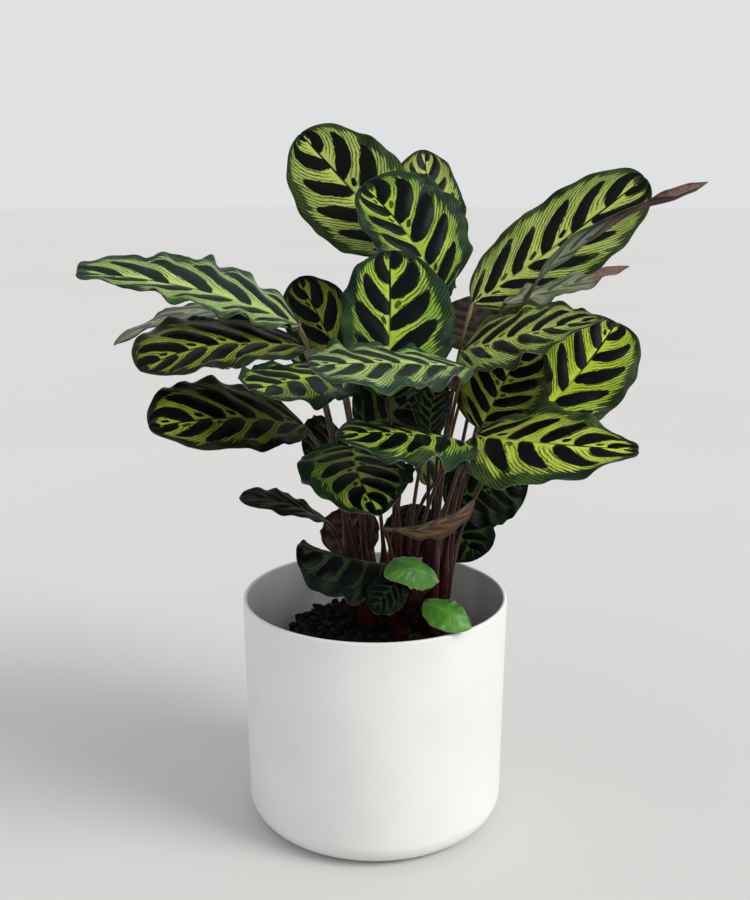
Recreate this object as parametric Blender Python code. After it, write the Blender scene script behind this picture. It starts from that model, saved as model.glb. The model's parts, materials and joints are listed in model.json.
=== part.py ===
"""A calathea in a plain round cover pot.

Units are metres with +Z up. The origin is the middle of the pot's underside.
Each leaf blade, each shoot's bundle of stalks, the soil, an old cut stalk and the pot
are separate objects. The leaf table is in centimetres, because that is how a plant is measured.
"""

import math
from typing import NamedTuple

import bmesh
import bpy
import numpy as np
from mathutils import Vector

CM = 0.01
GAP = 0.0004

# Pot: a thin-walled cylinder with a slight taper and a rounded bottom edge.
POT_HEIGHT = 0.158
POT_RIM_RADIUS = 0.090
POT_FOOT_RADIUS = 0.088
POT_WALL = 0.003
POT_FLOOR = 0.004
POT_CORNER_RADIUS = 0.017
POT_SEGMENTS = 40

# Soil: a flat-topped mound that falls away towards the pot's wall.
SOIL_TOP = 0.133
SOIL_CROWN = 0.003
SOIL_SHOULDER_RADIUS = 0.055
SOIL_EDGE_HEIGHT = 0.098
SOIL_SLOPE = (0.074, 0.111)
SOIL_INNER_RADII = (0.036, 0.018)
SOIL_SEGMENTS = 32

# Stalks and blades.
SHEATH_RADIUS = 0.0055
SHEATH_TOP_RADIUS = 0.0036
SHEATH_HEIGHT = 0.030
STALK_FOOT_RADIUS = 0.0021
STALK_TOP_RADIUS = 0.0012
STALK_SPREAD = 0.0017
STALK_FOOT_LIFT = 0.002
STALK_LEAN = (0.35, 0.35, 0.75)
STALK_STEPS = 8
BLADE_TO_STALK = 0.0026
BLADE_THICKNESS = 0.0006
BLADE_STEPS_LONG = 9
BLADE_STEPS_ACROSS = 4
BASE_FULLNESS = 0.52
EDGE_WAVES = ((0.65, 3.0, 1.0, 2.1), (0.35, 5.1, 2.3, 0.7))
EDGE_WAVE_POWER = 2.2
PHASE_STEP = 1.7

# The stub of an old stalk, cut off just above the soil.
OLD_STALK_PLACE = (0.0215, 0.0145)
OLD_STALK_RADII = (0.0042, 0.0034)
OLD_STALK_HEIGHT = 0.010
ROUND_SEGMENTS = 10

SHOOTS = {
    "middle": (1.0, 1.2),
    "right": (4.3, 0.8),
    "back_right": (3.6, 2.9),
    "back": (1.6, 3.8),
    "back_left": (-0.4, 3.0),
    "left": (-1.2, 1.0),
    "front_left": (-0.4, -1.0),
    "front": (1.7, -1.9),
    "front_right": (3.5, -1.2),
}


class Leaf(NamedTuple):
    """One leaf: where its midrib runs, in centimetres, and how its blade is shaped."""

    name: str
    shoot: str
    base: tuple
    mid: tuple
    tip: tuple
    width: float
    face: tuple
    taper: float = 0.5
    ruffle: float = 0.3
    fold: float = 0.15
    curl: float = -0.15
    halves: tuple = (1.0, 1.0)


LEAVES = (
    Leaf("top_back", "middle", (2, 2, 38.8), (-1.3, 5, 42.4), (-5.1, 7, 46.4), 7.7, (-0.1, -0.85, 0.5)),
    Leaf("top_hidden", "back_right", (3.6, 5, 38.1), (3.7, 8, 41.7), (3.5, 10, 45.4), 5.8,
         (0.35, -0.8, 0.5), taper=0.6),
    Leaf("top_front", "middle", (4.2, -1, 36.6), (2, 0, 40.1), (-0.8, 1.2, 43), 8.0, (0.35, -0.8, 0.5),
         fold=0.3, halves=(0.75, 1.1)),
    Leaf("centre", "front", (0.7, -7.5, 30.8), (0.9, -5, 35), (0.9, -2, 39.1), 7.2, (0.05, -0.9, 0.45),
         halves=(0.85, 1.12)),
    Leaf("front_pale", "front_right", (5.3, -7.5, 32.7), (0.6, -11, 33.5), (-3.6, -13, 33.6), 7.2,
         (0, -0.28, 1), taper=0.42, ruffle=0.42, halves=(1.05, 0.75)),
    Leaf("left_long", "left", (-4.8, -1.7, 34.4), (-10.6, -4.6, 36.9), (-17.7, -6, 38.1), 6.4,
         (0, -0.5, 0.87), taper=1.0, ruffle=0.5, halves=(0.65, 1.25)),
    Leaf("left_upright", "back_left", (-1.5, 2, 29.6), (-3.3, 4, 33.2), (-5.4, 6, 36.7), 5.2,
         (0.1, -0.9, 0.4)),
    Leaf("left_grey", "left", (-4.9, 0.6, 33.9), (-11.3, 2, 34.9), (-17.5, 2, 32.6), 5.5, (0, -0.12, 1),
         taper=0.6),
    Leaf("left_dark", "left", (-4.5, -2, 33.1), (-9.5, -6, 33.8), (-13.6, -9, 32.7), 7.0,
         (-0.1, -0.5, 0.85), halves=(0.8, 1.1)),
    Leaf("left_low", "front_left", (-4.5, -3, 28.2), (-8.5, -7, 29.5), (-13, -10, 29.5), 6.9,
         (0, -0.6, 0.8), halves=(0.85, 1.1)),
    Leaf("left_inner", "front_left", (-2.4, -3.6, 31.9), (-4.8, -8.2, 32), (-7, -11.5, 32), 6.6,
         (0, -0.45, 0.9), halves=(1.05, 0.8)),
    Leaf("right_top", "back_right", (6.6, 3, 35.3), (12.1, 5, 38.8), (18.6, 7, 43.5), 6.3,
         (0.1, -0.85, 0.5), taper=0.42),
    Leaf("right_rolled", "right", (10.1, -2, 37.1), (13.8, -2, 40.4), (20.5, -2, 43.3), 1.5, (0, -1, 0.5),
         taper=0.6),
    Leaf("right_edge", "right", (8.5, 1.2, 35.5), (12.4, 1.2, 36.6), (16.6, 1.2, 37.9), 3.6, (0, -0.2, 1),
         taper=0.8, ruffle=0.35),
    Leaf("right_upper", "front_right", (5.5, -3, 33), (9.5, -6, 34.6), (13.3, -8, 35.6), 6.5,
         (-0.15, -0.5, 0.85), taper=1.15, ruffle=0.4),
    Leaf("right_face", "right", (9.6, 0, 26.8), (13.7, 2, 30.6), (16.6, 4.5, 33.8), 6.7, (-0.1, -0.9, 0.4),
         taper=0.42),
    Leaf("right_front", "front_right", (6.3, -5, 28), (10.4, -10, 28.6), (14.8, -12, 28.7), 7.4,
         (0, -0.62, 0.78), taper=1.1, ruffle=0.45, halves=(0.88, 1.08)),
    Leaf("front_low", "front", (5.2, -8, 28.3), (1.7, -12.4, 29.8), (-2.1, -14, 30), 7.0,
         (0, -0.22, 0.97), taper=0.6, ruffle=0.4, fold=0.05, curl=-0.3, halves=(0.9, 1.1)),
    Leaf("front_tip", "front_left", (-1.2, -5, 27.2), (-1, -10, 26.8), (0.3, -13.5, 25.3), 6.9,
         (0.05, -0.35, 0.93), taper=0.7),
    Leaf("left_shelf", "left", (-3.1, -2, 21.5), (-5.7, -3, 23), (-8.7, -3, 23.5), 3.2, (0, -0.2, 1),
         taper=0.4, ruffle=0.15),
    Leaf("rim_left", "front_left", (0.6, -3, 18.9), (-2.1, -6, 20.4), (-4.8, -7, 21.4), 5.8,
         (0, -0.35, 0.9), fold=-0.35),
    Leaf("rim_small", "front", (1.5, -6.6, 19.2), (0.7, -7.6, 18.5), (-0.2, -8, 17.6), 2.6, (0, -0.7, 0.7),
         ruffle=0.12),
    Leaf("young_upper", "front", (4, -5.5, 18.6), (2.3, -6.5, 19.8), (0.6, -7.3, 19.5), 2.6, (0, -0.6, 0.8),
         taper=0.65, ruffle=0.1, fold=-0.2),
    Leaf("young_lower", "front_right", (3.2, -5.5, 17.3), (4.5, -7, 17.1), (6, -7.5, 16.2), 2.4,
         (0, -0.6, 0.8), taper=0.65, ruffle=0.1, fold=-0.2),
    Leaf("right_back_low", "back_right", (4.9, 2, 21.5), (7.6, 2.2, 22.6), (10.6, 2.4, 22.9), 5.5,
         (0, -0.95, 0.3)),
    Leaf("right_hang", "back_right", (4.5, 4.8, 19.7), (6.2, 5.2, 18.3), (7.3, 5.2, 16.4), 5.0,
         (0.1, -0.9, -0.2)),
    Leaf("front_rolled", "front", (0.6, -6, 22.3), (3.2, -8, 23), (6, -8, 24.5), 2.6, (0, 0.6, 0.8),
         taper=0.38, ruffle=0.12, curl=-0.5),
    Leaf("right_inner", "right", (6.7, -3.4, 28), (8.1, -2.8, 30.8), (9.9, -1.8, 33.5), 6.2,
         (-0.2, -0.85, 0.4)),
    Leaf("back_brown", "back_right", (7.1, 3, 32), (6.9, 5, 33.8), (6.6, 7, 35.3), 5.5, (0, 0.8, -0.3)),
    Leaf("back_dark", "back_right", (10.2, 5, 31), (10.2, 7, 33.5), (10, 8, 35.3), 6.0, (0, -0.9, 0.3)),
    Leaf("centre_low", "middle", (-0.5, -2, 27.1), (1.6, -2, 29.2), (4.4, -1.8, 31), 6.5, (0, -0.85, 0.5)),
    Leaf("centre_slim", "front", (3.4, -5.5, 28.3), (3.5, -5.5, 30), (3.8, -5.5, 31.4), 3.4,
         (0.7, -0.7, 0.1), ruffle=0.15),
    Leaf("left_olive", "back_left", (-2.1, 2.5, 26.1), (-3.5, 2.6, 25.5), (-4.9, 2.6, 25), 4.5,
         (0, -0.9, 0.3)),
    Leaf("hang_left", "back_left", (-0.6, 5.6, 20.2), (-1.8, 5.9, 18.3), (-2.6, 5.8, 16.5), 4.4,
         (-0.1, 0.95, 0.2)),
    Leaf("hang_middle", "back", (2.6, 5.8, 20.4), (2.9, 6.3, 18.3), (2.9, 6.3, 16.2), 4.6,
         (0.1, 0.95, 0.2)),
    Leaf("rear_left", "back_left", (-2, 5, 29), (-6, 9, 31), (-10, 12, 30.5), 6.8, (-0.2, 0.4, 0.9)),
    Leaf("rear_middle", "back", (1, 5, 30), (0, 10, 32.5), (-1, 14.5, 32.5), 7.0, (0, 0.4, 0.9)),
    Leaf("rear_right", "back_right", (5, 5.5, 29), (9, 9.5, 30), (13, 12.5, 29.5), 6.8, (0.2, 0.4, 0.9)),
    Leaf("rear_low_left", "back_left", (0, 5, 21), (-2, 9, 22), (-4, 13, 20.5), 6.0, (-0.2, 0.5, 0.85)),
    Leaf("rear_low_right", "back", (4, 5, 22), (6.5, 9, 23.5), (9, 13, 22), 6.2, (0.2, 0.5, 0.85)),
    Leaf("rear_high", "back", (1.8, 4.6, 34), (2.5, 8.5, 36.6), (3.5, 12.5, 37.5), 6.8, (0.1, -0.6, 0.8)),
)


def clear_scene():
    for obj in list(bpy.data.objects):
        bpy.data.objects.remove(obj, do_unlink=True)


def material(name, colour, roughness, metallic=0.0):
    mat = bpy.data.materials.new(name)
    mat.use_nodes = True
    shader = mat.node_tree.nodes["Principled BSDF"]
    shader.inputs["Base Color"].default_value = (*colour, 1.0)
    shader.inputs["Roughness"].default_value = roughness
    shader.inputs["Metallic"].default_value = metallic
    mat.diffuse_color = (*colour, 1.0)
    return mat


def add_object(name, mesh, mat):
    obj = bpy.data.objects.new(name, mesh)
    bpy.context.scene.collection.objects.link(obj)
    mesh.materials.append(mat)
    return obj


def mesh_from(bm, name):
    mesh = bpy.data.meshes.new(name)
    bm.to_mesh(mesh)
    bm.free()
    return mesh


def turned(name, profile, segments, mat):
    """A solid turned about Z from (radius, height) points that start and end on the axis."""
    bm = bmesh.new()
    points = [bm.verts.new((radius, 0.0, height)) for radius, height in profile]
    edges = [bm.edges.new(pair) for pair in zip(points, points[1:])]
    bmesh.ops.spin(bm, geom=points + edges, cent=(0, 0, 0), axis=(0, 0, 1), dvec=(0, 0, 0),
                   angle=2 * math.pi, steps=segments, use_merge=True)
    bmesh.ops.remove_doubles(bm, verts=bm.verts, dist=1e-6)
    bmesh.ops.recalc_face_normals(bm, faces=bm.faces)
    mesh = mesh_from(bm, name)
    mesh.shade_smooth()
    mesh.set_sharp_from_angle(angle=math.radians(40))
    return add_object(name, mesh, mat)


def arc(centre, radius, start, end, steps):
    """Points on a circle in the profile's plane, from one angle in degrees to another."""
    angles = np.radians(np.linspace(start, end, steps))
    return [(centre[0] + radius * math.cos(a), centre[1] + radius * math.sin(a)) for a in angles]


def pot_profile():
    """The pot's wall as one closed run: underside, corner, side, lip, inside, floor."""
    lip = POT_WALL / 2
    inner_corner = POT_CORNER_RADIUS - POT_WALL
    inner_foot = POT_FOOT_RADIUS - POT_WALL
    outer = arc((POT_FOOT_RADIUS - POT_CORNER_RADIUS, POT_CORNER_RADIUS), POT_CORNER_RADIUS, -90, 0, 5)
    top = arc((POT_RIM_RADIUS - lip, POT_HEIGHT - lip), lip, 0, 180, 5)
    inner = arc((inner_foot - inner_corner, POT_FLOOR + inner_corner), inner_corner, 0, -90, 4)
    return [(0.0, 0.0), *outer, *top, *inner, (0.0, POT_FLOOR)]


def make_pot():
    white = material("pot_white", (0.80, 0.80, 0.79), 0.45)
    return turned("pot", pot_profile(), POT_SEGMENTS, white)


def soil_height(radius):
    """The mound's height at a distance from the pot's axis: a low dome out to the shoulder."""
    return SOIL_TOP + SOIL_CROWN * (1 - (radius / SOIL_SHOULDER_RADIUS) ** 2)


def pot_inner_radius(height):
    rise = (height - POT_CORNER_RADIUS) / (POT_HEIGHT - POT_CORNER_RADIUS)
    return POT_FOOT_RADIUS + (POT_RIM_RADIUS - POT_FOOT_RADIUS) * rise - POT_WALL


def make_soil():
    dark = material("soil_dark", (0.012, 0.010, 0.009), 0.95)
    corner = POT_CORNER_RADIUS - POT_WALL
    foot = POT_FOOT_RADIUS - POT_WALL - 2 * GAP
    bottom = arc((foot - corner, POT_FLOOR + GAP + corner), corner, -90, 0, 4)
    edge = (pot_inner_radius(SOIL_EDGE_HEIGHT) - 3 * GAP, SOIL_EDGE_HEIGHT)
    shoulder = [(r, soil_height(r)) for r in (SOIL_SHOULDER_RADIUS, *SOIL_INNER_RADII)]
    profile = [(0.0, POT_FLOOR + GAP), *bottom, edge, SOIL_SLOPE, *shoulder, (0.0, soil_height(0))]
    return turned("soil", profile, SOIL_SEGMENTS, dark)


def centimetres(point):
    return np.array(point, float) * CM


def unit(vector):
    return vector / np.linalg.norm(vector)


def midrib(leaf, u):
    """Place and direction of the midrib, from 0 at the blade's base to 1 at its tip."""
    base, mid, tip = (centimetres(p) for p in (leaf.base, leaf.mid, leaf.tip))
    bend = 2 * mid - (base + tip) / 2
    place = (1 - u) ** 2 * base + 2 * u * (1 - u) * bend + u * u * tip
    return place, unit(2 * (1 - u) * (bend - base) + 2 * u * (tip - bend))


def outline(u, taper):
    """The blade's half-width as a share of its widest: round at the base, taper at the tip."""
    widest = BASE_FULLNESS / (BASE_FULLNESS + taper)
    peak = widest ** BASE_FULLNESS * (1 - widest) ** taper
    return u ** BASE_FULLNESS * (1 - u) ** taper / peak


def upper_normal(leaf, along):
    face = np.array(leaf.face, float)
    return unit(face - along * face.dot(along))


def blade_point(leaf, phase, u, v):
    """A point of the blade: u runs along the midrib, v from one edge (-1) to the other (1)."""
    place, along = midrib(leaf, u)
    up = upper_normal(leaf, along)
    across = np.cross(along, up)
    share = outline(u, leaf.taper)
    half = leaf.width * CM / 2
    reach = half * share * v * leaf.halves[int(v > 0)]
    lift = leaf.fold * abs(reach) + leaf.curl * reach * reach / half
    wave = 0.0
    for height, turns, stretch, shift in EDGE_WAVES:
        wave += height * math.sin(2 * math.pi * turns * u + stretch * phase + shift * int(v > 0))
    lift += leaf.ruffle * CM * abs(v) ** EDGE_WAVE_POWER * share * wave
    return place + across * reach * math.cos(math.atan(leaf.fold)) + up * lift


def blade_grid(leaf, phase):
    """Rows of points over the blade, closer together towards its base and tip."""
    us = 0.5 - 0.5 * np.cos(np.linspace(0, math.pi, BLADE_STEPS_LONG + 1))
    vs = np.linspace(-1, 1, BLADE_STEPS_ACROSS + 1)
    inner = [[blade_point(leaf, phase, u, v) for v in vs] for u in us[1:-1]]
    return [[midrib(leaf, 0)[0]], *inner, [midrib(leaf, 1)[0]]]


def make_blade(leaf, phase, mat):
    """A thin plate: a sheet of faces over the grid, thickened to both sides."""
    bm = bmesh.new()
    rows = [[bm.verts.new(p) for p in row] for row in blade_grid(leaf, phase)]
    for row, following in zip(rows, rows[1:]):
        for k in range(BLADE_STEPS_ACROSS):
            near = [row[min(k, len(row) - 1)], row[min(k + 1, len(row) - 1)]]
            far = [following[min(k + 1, len(following) - 1)], following[min(k, len(following) - 1)]]
            corners = list(dict.fromkeys(near + far))
            bm.faces.new(corners)
    bmesh.ops.triangulate(bm, faces=bm.faces)
    mesh = mesh_from(bm, "blade_" + leaf.name)
    mesh.shade_smooth()
    obj = add_object("blade_" + leaf.name, mesh, mat)
    plate = obj.modifiers.new("Thickness", "SOLIDIFY")
    plate.thickness = BLADE_THICKNESS
    plate.offset = 0.0
    return obj


def shoot_foot(shoot):
    x, y = (c * CM for c in SHOOTS[shoot])
    return np.array([x, y, soil_height(math.hypot(x, y)) + GAP])


def stalk_path(leaf, spread):
    """A stalk rises from inside its shoot's sheath and leans out to the blade's base."""
    foot = shoot_foot(leaf.shoot) + np.array([*spread, STALK_FOOT_LIFT])
    base = midrib(leaf, 0)[0]
    bend = foot + (base - foot) * np.array(STALK_LEAN)
    top = base - BLADE_TO_STALK * unit(base - bend)
    steps = np.linspace(0, 1, STALK_STEPS + 1)
    return [(1 - t) ** 2 * foot + 2 * t * (1 - t) * bend + t * t * top for t in steps]


def tubes(name, paths):
    """One mesh of tapered round tubes with closed ends, one along each path."""
    curve = bpy.data.curves.new(name, "CURVE")
    curve.dimensions = "3D"
    curve.bevel_depth = 1.0
    curve.bevel_resolution = 1
    curve.use_fill_caps = True
    for path in paths:
        spline = curve.splines.new("POLY")
        spline.points.add(len(path) - 1)
        radii = np.linspace(STALK_FOOT_RADIUS, STALK_TOP_RADIUS, len(path))
        for point, place, radius in zip(spline.points, path, radii):
            point.co = (*place, 1.0)
            point.radius = radius
    guide = bpy.data.objects.new(name + "_guide", curve)
    bpy.context.scene.collection.objects.link(guide)
    mesh = bpy.data.meshes.new_from_object(guide)
    bpy.data.objects.remove(guide, do_unlink=True)
    bm = bmesh.new()
    bm.from_mesh(mesh)
    bmesh.ops.remove_doubles(bm, verts=bm.verts, dist=1e-6)
    bmesh.ops.recalc_face_normals(bm, faces=bm.faces)
    return mesh_from(bm, name)


def make_sheath(shoot, mat):
    """The swollen base that wraps one shoot's stalks, standing on the soil."""
    bm = bmesh.new()
    bmesh.ops.create_cone(bm, cap_ends=True, segments=ROUND_SEGMENTS, radius1=SHEATH_RADIUS,
                          radius2=SHEATH_TOP_RADIUS, depth=SHEATH_HEIGHT)
    lift = Vector(shoot_foot(shoot)) + Vector((0, 0, SHEATH_HEIGHT / 2))
    bmesh.ops.translate(bm, verts=bm.verts, vec=lift)
    sheath = add_object("sheath_" + shoot, mesh_from(bm, "sheath_" + shoot), mat)
    sheath.hide_render = True
    sheath.display_type = "WIRE"
    return sheath


def make_shoot(shoot, mat):
    """All the stalks of one shoot, joined with their sheath into one solid."""
    own = [leaf for leaf in LEAVES if leaf.shoot == shoot]
    ring = [2 * math.pi * k / len(own) for k in range(len(own))]
    spreads = [(STALK_SPREAD * math.cos(a), STALK_SPREAD * math.sin(a)) for a in ring]
    mesh = tubes("stems_" + shoot, [stalk_path(leaf, s) for leaf, s in zip(own, spreads)])
    mesh.shade_smooth()
    stems = add_object("stems_" + shoot, mesh, mat)
    join = stems.modifiers.new("Sheath", "BOOLEAN")
    join.operation = "UNION"
    join.object = make_sheath(shoot, mat)
    join.use_self = True
    return stems


def make_old_stalk():
    """The cut stub of a dead stalk, standing in the soil between the shoots."""
    pinkish = material("old_stalk_pink", (0.24, 0.15, 0.12), 0.8)
    bm = bmesh.new()
    wide, narrow = OLD_STALK_RADII
    bmesh.ops.create_cone(bm, cap_ends=True, segments=ROUND_SEGMENTS, radius1=wide, radius2=narrow,
                          depth=OLD_STALK_HEIGHT)
    x, y = OLD_STALK_PLACE
    middle = soil_height(math.hypot(x, y)) + GAP + OLD_STALK_HEIGHT / 2
    bmesh.ops.translate(bm, verts=bm.verts, vec=(x, y, middle))
    return add_object("old_stalk", mesh_from(bm, "old_stalk"), pinkish)


def main():
    clear_scene()
    make_pot()
    make_soil()
    make_old_stalk()
    red = material("stalk_dark_red", (0.055, 0.012, 0.012), 0.5)
    for shoot in SHOOTS:
        make_shoot(shoot, red)
    green = material("blade_green", (0.10, 0.19, 0.04), 0.4)
    bright = material("young_blade_green", (0.16, 0.42, 0.06), 0.4)
    for index, leaf in enumerate(LEAVES):
        make_blade(leaf, PHASE_STEP * index, bright if leaf.name.startswith("young") else green)


main()
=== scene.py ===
# %% [markdown]
# # A calathea in a white cover pot
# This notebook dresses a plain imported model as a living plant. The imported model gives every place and
# size: the pot, the soil, nine bundles of stalks and forty-one leaf blades. Here each of them gets
# the shape that the eye sees and a finish that is worked out by formulas, with no pictures.
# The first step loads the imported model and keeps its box, so that the finished plant can be
# compared with it at the end.

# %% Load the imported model
import json
import math
import random
from typing import NamedTuple

import bmesh
import bpy
import numpy as np
from mathutils import Matrix, Vector, noise

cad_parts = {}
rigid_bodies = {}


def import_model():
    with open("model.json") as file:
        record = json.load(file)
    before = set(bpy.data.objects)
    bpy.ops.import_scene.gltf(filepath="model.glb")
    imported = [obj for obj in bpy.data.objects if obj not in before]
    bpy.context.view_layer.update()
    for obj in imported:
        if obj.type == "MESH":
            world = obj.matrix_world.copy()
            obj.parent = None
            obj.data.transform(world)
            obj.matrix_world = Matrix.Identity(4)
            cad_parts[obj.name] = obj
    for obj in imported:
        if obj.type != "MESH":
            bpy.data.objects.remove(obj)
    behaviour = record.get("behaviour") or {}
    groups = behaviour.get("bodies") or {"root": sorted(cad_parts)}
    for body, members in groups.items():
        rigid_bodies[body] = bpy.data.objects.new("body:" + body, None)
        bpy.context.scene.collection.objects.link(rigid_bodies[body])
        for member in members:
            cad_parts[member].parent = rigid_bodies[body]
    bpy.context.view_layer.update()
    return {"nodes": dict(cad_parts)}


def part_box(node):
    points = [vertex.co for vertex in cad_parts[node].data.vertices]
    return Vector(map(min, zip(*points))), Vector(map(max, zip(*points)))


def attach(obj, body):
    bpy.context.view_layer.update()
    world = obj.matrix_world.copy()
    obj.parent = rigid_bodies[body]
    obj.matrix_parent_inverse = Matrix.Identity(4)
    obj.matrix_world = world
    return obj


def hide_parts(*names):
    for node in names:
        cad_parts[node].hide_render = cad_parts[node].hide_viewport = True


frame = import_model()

CM = 0.01
MM = 0.001
GAP = 0.4 * MM
TOUCHING = 1e-6
print("nodes in the packed model:", len(frame["nodes"]))

# %% [markdown]
# ## Helpers for pieces
# A piece is a mesh with its place in its vertices, so its object stays at the origin. It rides on the
# model's only body, and the imported node that it stands for is hidden. One function does all of that,
# so no piece can miss a step.

# %% A function that turns a bmesh into a finished piece
def finish_piece(name, bm, materials, node=None):
    """Makes the object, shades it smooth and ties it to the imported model."""
    mesh = bpy.data.meshes.new(name)
    bm.to_mesh(mesh)
    bm.free()
    mesh.shade_smooth()
    for material in materials:
        mesh.materials.append(material)
    piece = bpy.data.objects.new(name, mesh)
    bpy.context.scene.collection.objects.link(piece)
    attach(piece, "root")
    if node:
        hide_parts(node)
    return piece


print("finish_piece is ready")


# %% [markdown]
# ## Helpers for materials
# A leaf's marks are a formula: dark teardrops along curved veins. Written as a chain of Math nodes
# such a formula is hard to read, so a small class lets plain arithmetic build the nodes. `a * b + c`
# adds two Math nodes and gives back the result, which can go on into the next line.

# %% A class that writes Math nodes as arithmetic
def feed(socket, value):
    """Links a socket to a field, or sets its plain value."""
    if isinstance(value, Field):
        value.tree.links.new(value.socket, socket)
    else:
        socket.default_value = value


class Field:
    """A number that changes over a surface."""

    def __init__(self, tree, socket):
        self.tree = tree
        self.socket = socket

    def math(self, operation, *others):
        made = self.tree.nodes.new("ShaderNodeMath")
        made.operation = operation
        for socket, value in zip(made.inputs, (self, *others)):
            feed(socket, value)
        return Field(self.tree, made.outputs[0])

    def __add__(self, other):
        return self.math("ADD", other)

    def __sub__(self, other):
        return self.math("SUBTRACT", other)

    def __mul__(self, other):
        return self.math("MULTIPLY", other)

    def __truediv__(self, other):
        return self.math("DIVIDE", other)

    def __pow__(self, other):
        return self.math("POWER", other)

    __radd__ = __add__
    __rmul__ = __mul__

    def __rsub__(self, other):
        return self * -1.0 + other

    def abs(self):
        return self.math("ABSOLUTE")

    def floor(self):
        return self.math("FLOOR")

    def most(self, other):
        return self.math("MAXIMUM", other)

    def step(self, low, high):
        """0 below low and 1 above high, with a soft change between them."""
        made = self.tree.nodes.new("ShaderNodeMapRange")
        made.interpolation_type = "SMOOTHSTEP"
        feed(made.inputs["Value"], self)
        feed(made.inputs["From Min"], low)
        feed(made.inputs["From Max"], high)
        return Field(self.tree, made.outputs["Result"])


print("fields are ready")

# %% [markdown]
# Colours are mixed by a field too, and every finish needs some noise, so both get a helper. The noise
# helper takes a vector, which may be the place on the object or a place on the leaf.

# %% Helpers for noise, vectors, colours and bump
def vector_of(tree, x, y, z):
    made = tree.nodes.new("ShaderNodeCombineXYZ")
    for socket, value in zip(made.inputs, (x, y, z)):
        feed(socket, value)
    return Field(tree, made.outputs[0])


def noise_of(tree, vector, scale, detail=2.0, roughness=0.5):
    made = tree.nodes.new("ShaderNodeTexNoise")
    feed(made.inputs["Vector"], vector)
    feed(made.inputs["Scale"], scale)
    made.inputs["Detail"].default_value = detail
    made.inputs["Roughness"].default_value = roughness
    return Field(tree, made.outputs["Fac"])


def chance_of(tree, vector):
    """A random number from 0 to 1 that is the same wherever the vector is the same."""
    made = tree.nodes.new("ShaderNodeTexWhiteNoise")
    feed(made.inputs["Vector"], vector)
    return Field(tree, made.outputs["Value"])


def blend(tree, share, first, second):
    """A colour between two others. Each is a field or a plain (r, g, b)."""
    made = tree.nodes.new("ShaderNodeMix")
    made.data_type = "RGBA"
    feed(made.inputs["Factor"], share)
    for socket, value in ((made.inputs[6], first), (made.inputs[7], second)):
        feed(socket, value if isinstance(value, Field) else (*value, 1.0))
    return Field(tree, made.outputs[2])


def bump_of(tree, height, distance):
    made = tree.nodes.new("ShaderNodeBump")
    feed(made.inputs["Height"], height)
    made.inputs["Distance"].default_value = distance
    return Field(tree, made.outputs["Normal"])


def new_material(name):
    """An empty material with its tree and its Principled shader."""
    material = bpy.data.materials.new(name)
    material.use_nodes = True
    tree = material.node_tree
    return material, tree, tree.nodes["Principled BSDF"]


def fill_shader(shader, colour, roughness, mirror, normal=None):
    """Sets what differs between these finishes. mirror is how strongly the skin mirrors, 0.5 for most."""
    feed(shader.inputs["Base Color"], colour)
    feed(shader.inputs["Roughness"], roughness)
    shader.inputs["Specular IOR Level"].default_value = mirror
    if normal:
        feed(shader.inputs["Normal"], normal)


def object_place(tree):
    """The place on the piece, in metres."""
    return Field(tree, tree.nodes.new("ShaderNodeTexCoord").outputs["Object"])


def srgb(red, green, blue):
    """A colour given as it looks on a screen, 0 to 255, as the linear colour that shaders take."""
    values = [c / 255 for c in (red, green, blue)]
    return tuple(c / 12.92 if c <= 0.04045 else ((c + 0.055) / 1.055) ** 2.4 for c in values)


print("leaf lime as a shader takes it:", [round(c, 3) for c in srgb(159, 181, 51)])

# %% [markdown]
# ## A shared effect: mottle
# No real surface has one even colour. Paint, soil, stalk and leaf all drift slowly from lighter to
# darker, with a finer grain on top. That drift is one node group with a place and a scale going in,
# and a soft and a fine value coming out. It is built once and set differently each time.

# %% The mottle group
FINE_TO_SOFT = 14.0


def new_group(name, inputs, outputs):
    """An empty shader group: inputs are (name, type, value), outputs are names of plain numbers."""
    group = bpy.data.node_groups.new(name, "ShaderNodeTree")
    for label, kind, value in inputs:
        socket = group.interface.new_socket(label, in_out="INPUT", socket_type=kind)
        socket.default_value = value
    for label in outputs:
        group.interface.new_socket(label, in_out="OUTPUT", socket_type="NodeSocketFloat")
    enter = group.nodes.new("NodeGroupInput")
    leave = group.nodes.new("NodeGroupOutput")
    return group, {s.name: Field(group, s) for s in enter.outputs if s.name}, leave


def build_mottle():
    inputs = (("Place", "NodeSocketVector", (0, 0, 0)), ("Scale", "NodeSocketFloat", 10.0))
    group, given, leave = new_group("Mottle", inputs, ("Soft", "Fine"))
    soft = noise_of(group, given["Place"], given["Scale"], detail=3.0)
    fine = noise_of(group, given["Place"], given["Scale"] * FINE_TO_SOFT, roughness=0.6)
    feed(leave.inputs["Soft"], soft.step(0.25, 0.75))
    feed(leave.inputs["Fine"], fine.step(0.2, 0.8))
    return group


MOTTLE = build_mottle()


def mottle_of(tree, place, scale):
    made = tree.nodes.new("ShaderNodeGroup")
    made.node_tree = MOTTLE
    feed(made.inputs["Place"], place)
    made.inputs["Scale"].default_value = scale
    return Field(tree, made.outputs["Soft"]), Field(tree, made.outputs["Fine"])


print("mottle has", len(MOTTLE.nodes), "nodes")

# %% [markdown]
# ## The pot
# A cover pot is moulded or drawn, so its wall is thin and even, its lip is rounded and its underside
# turns into the side through one generous curve. Its section is a closed outline, and spinning that
# outline about the upright axis makes the whole pot at once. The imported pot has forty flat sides.
# This one has many more, so that the rim is a true circle to the eye.

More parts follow.
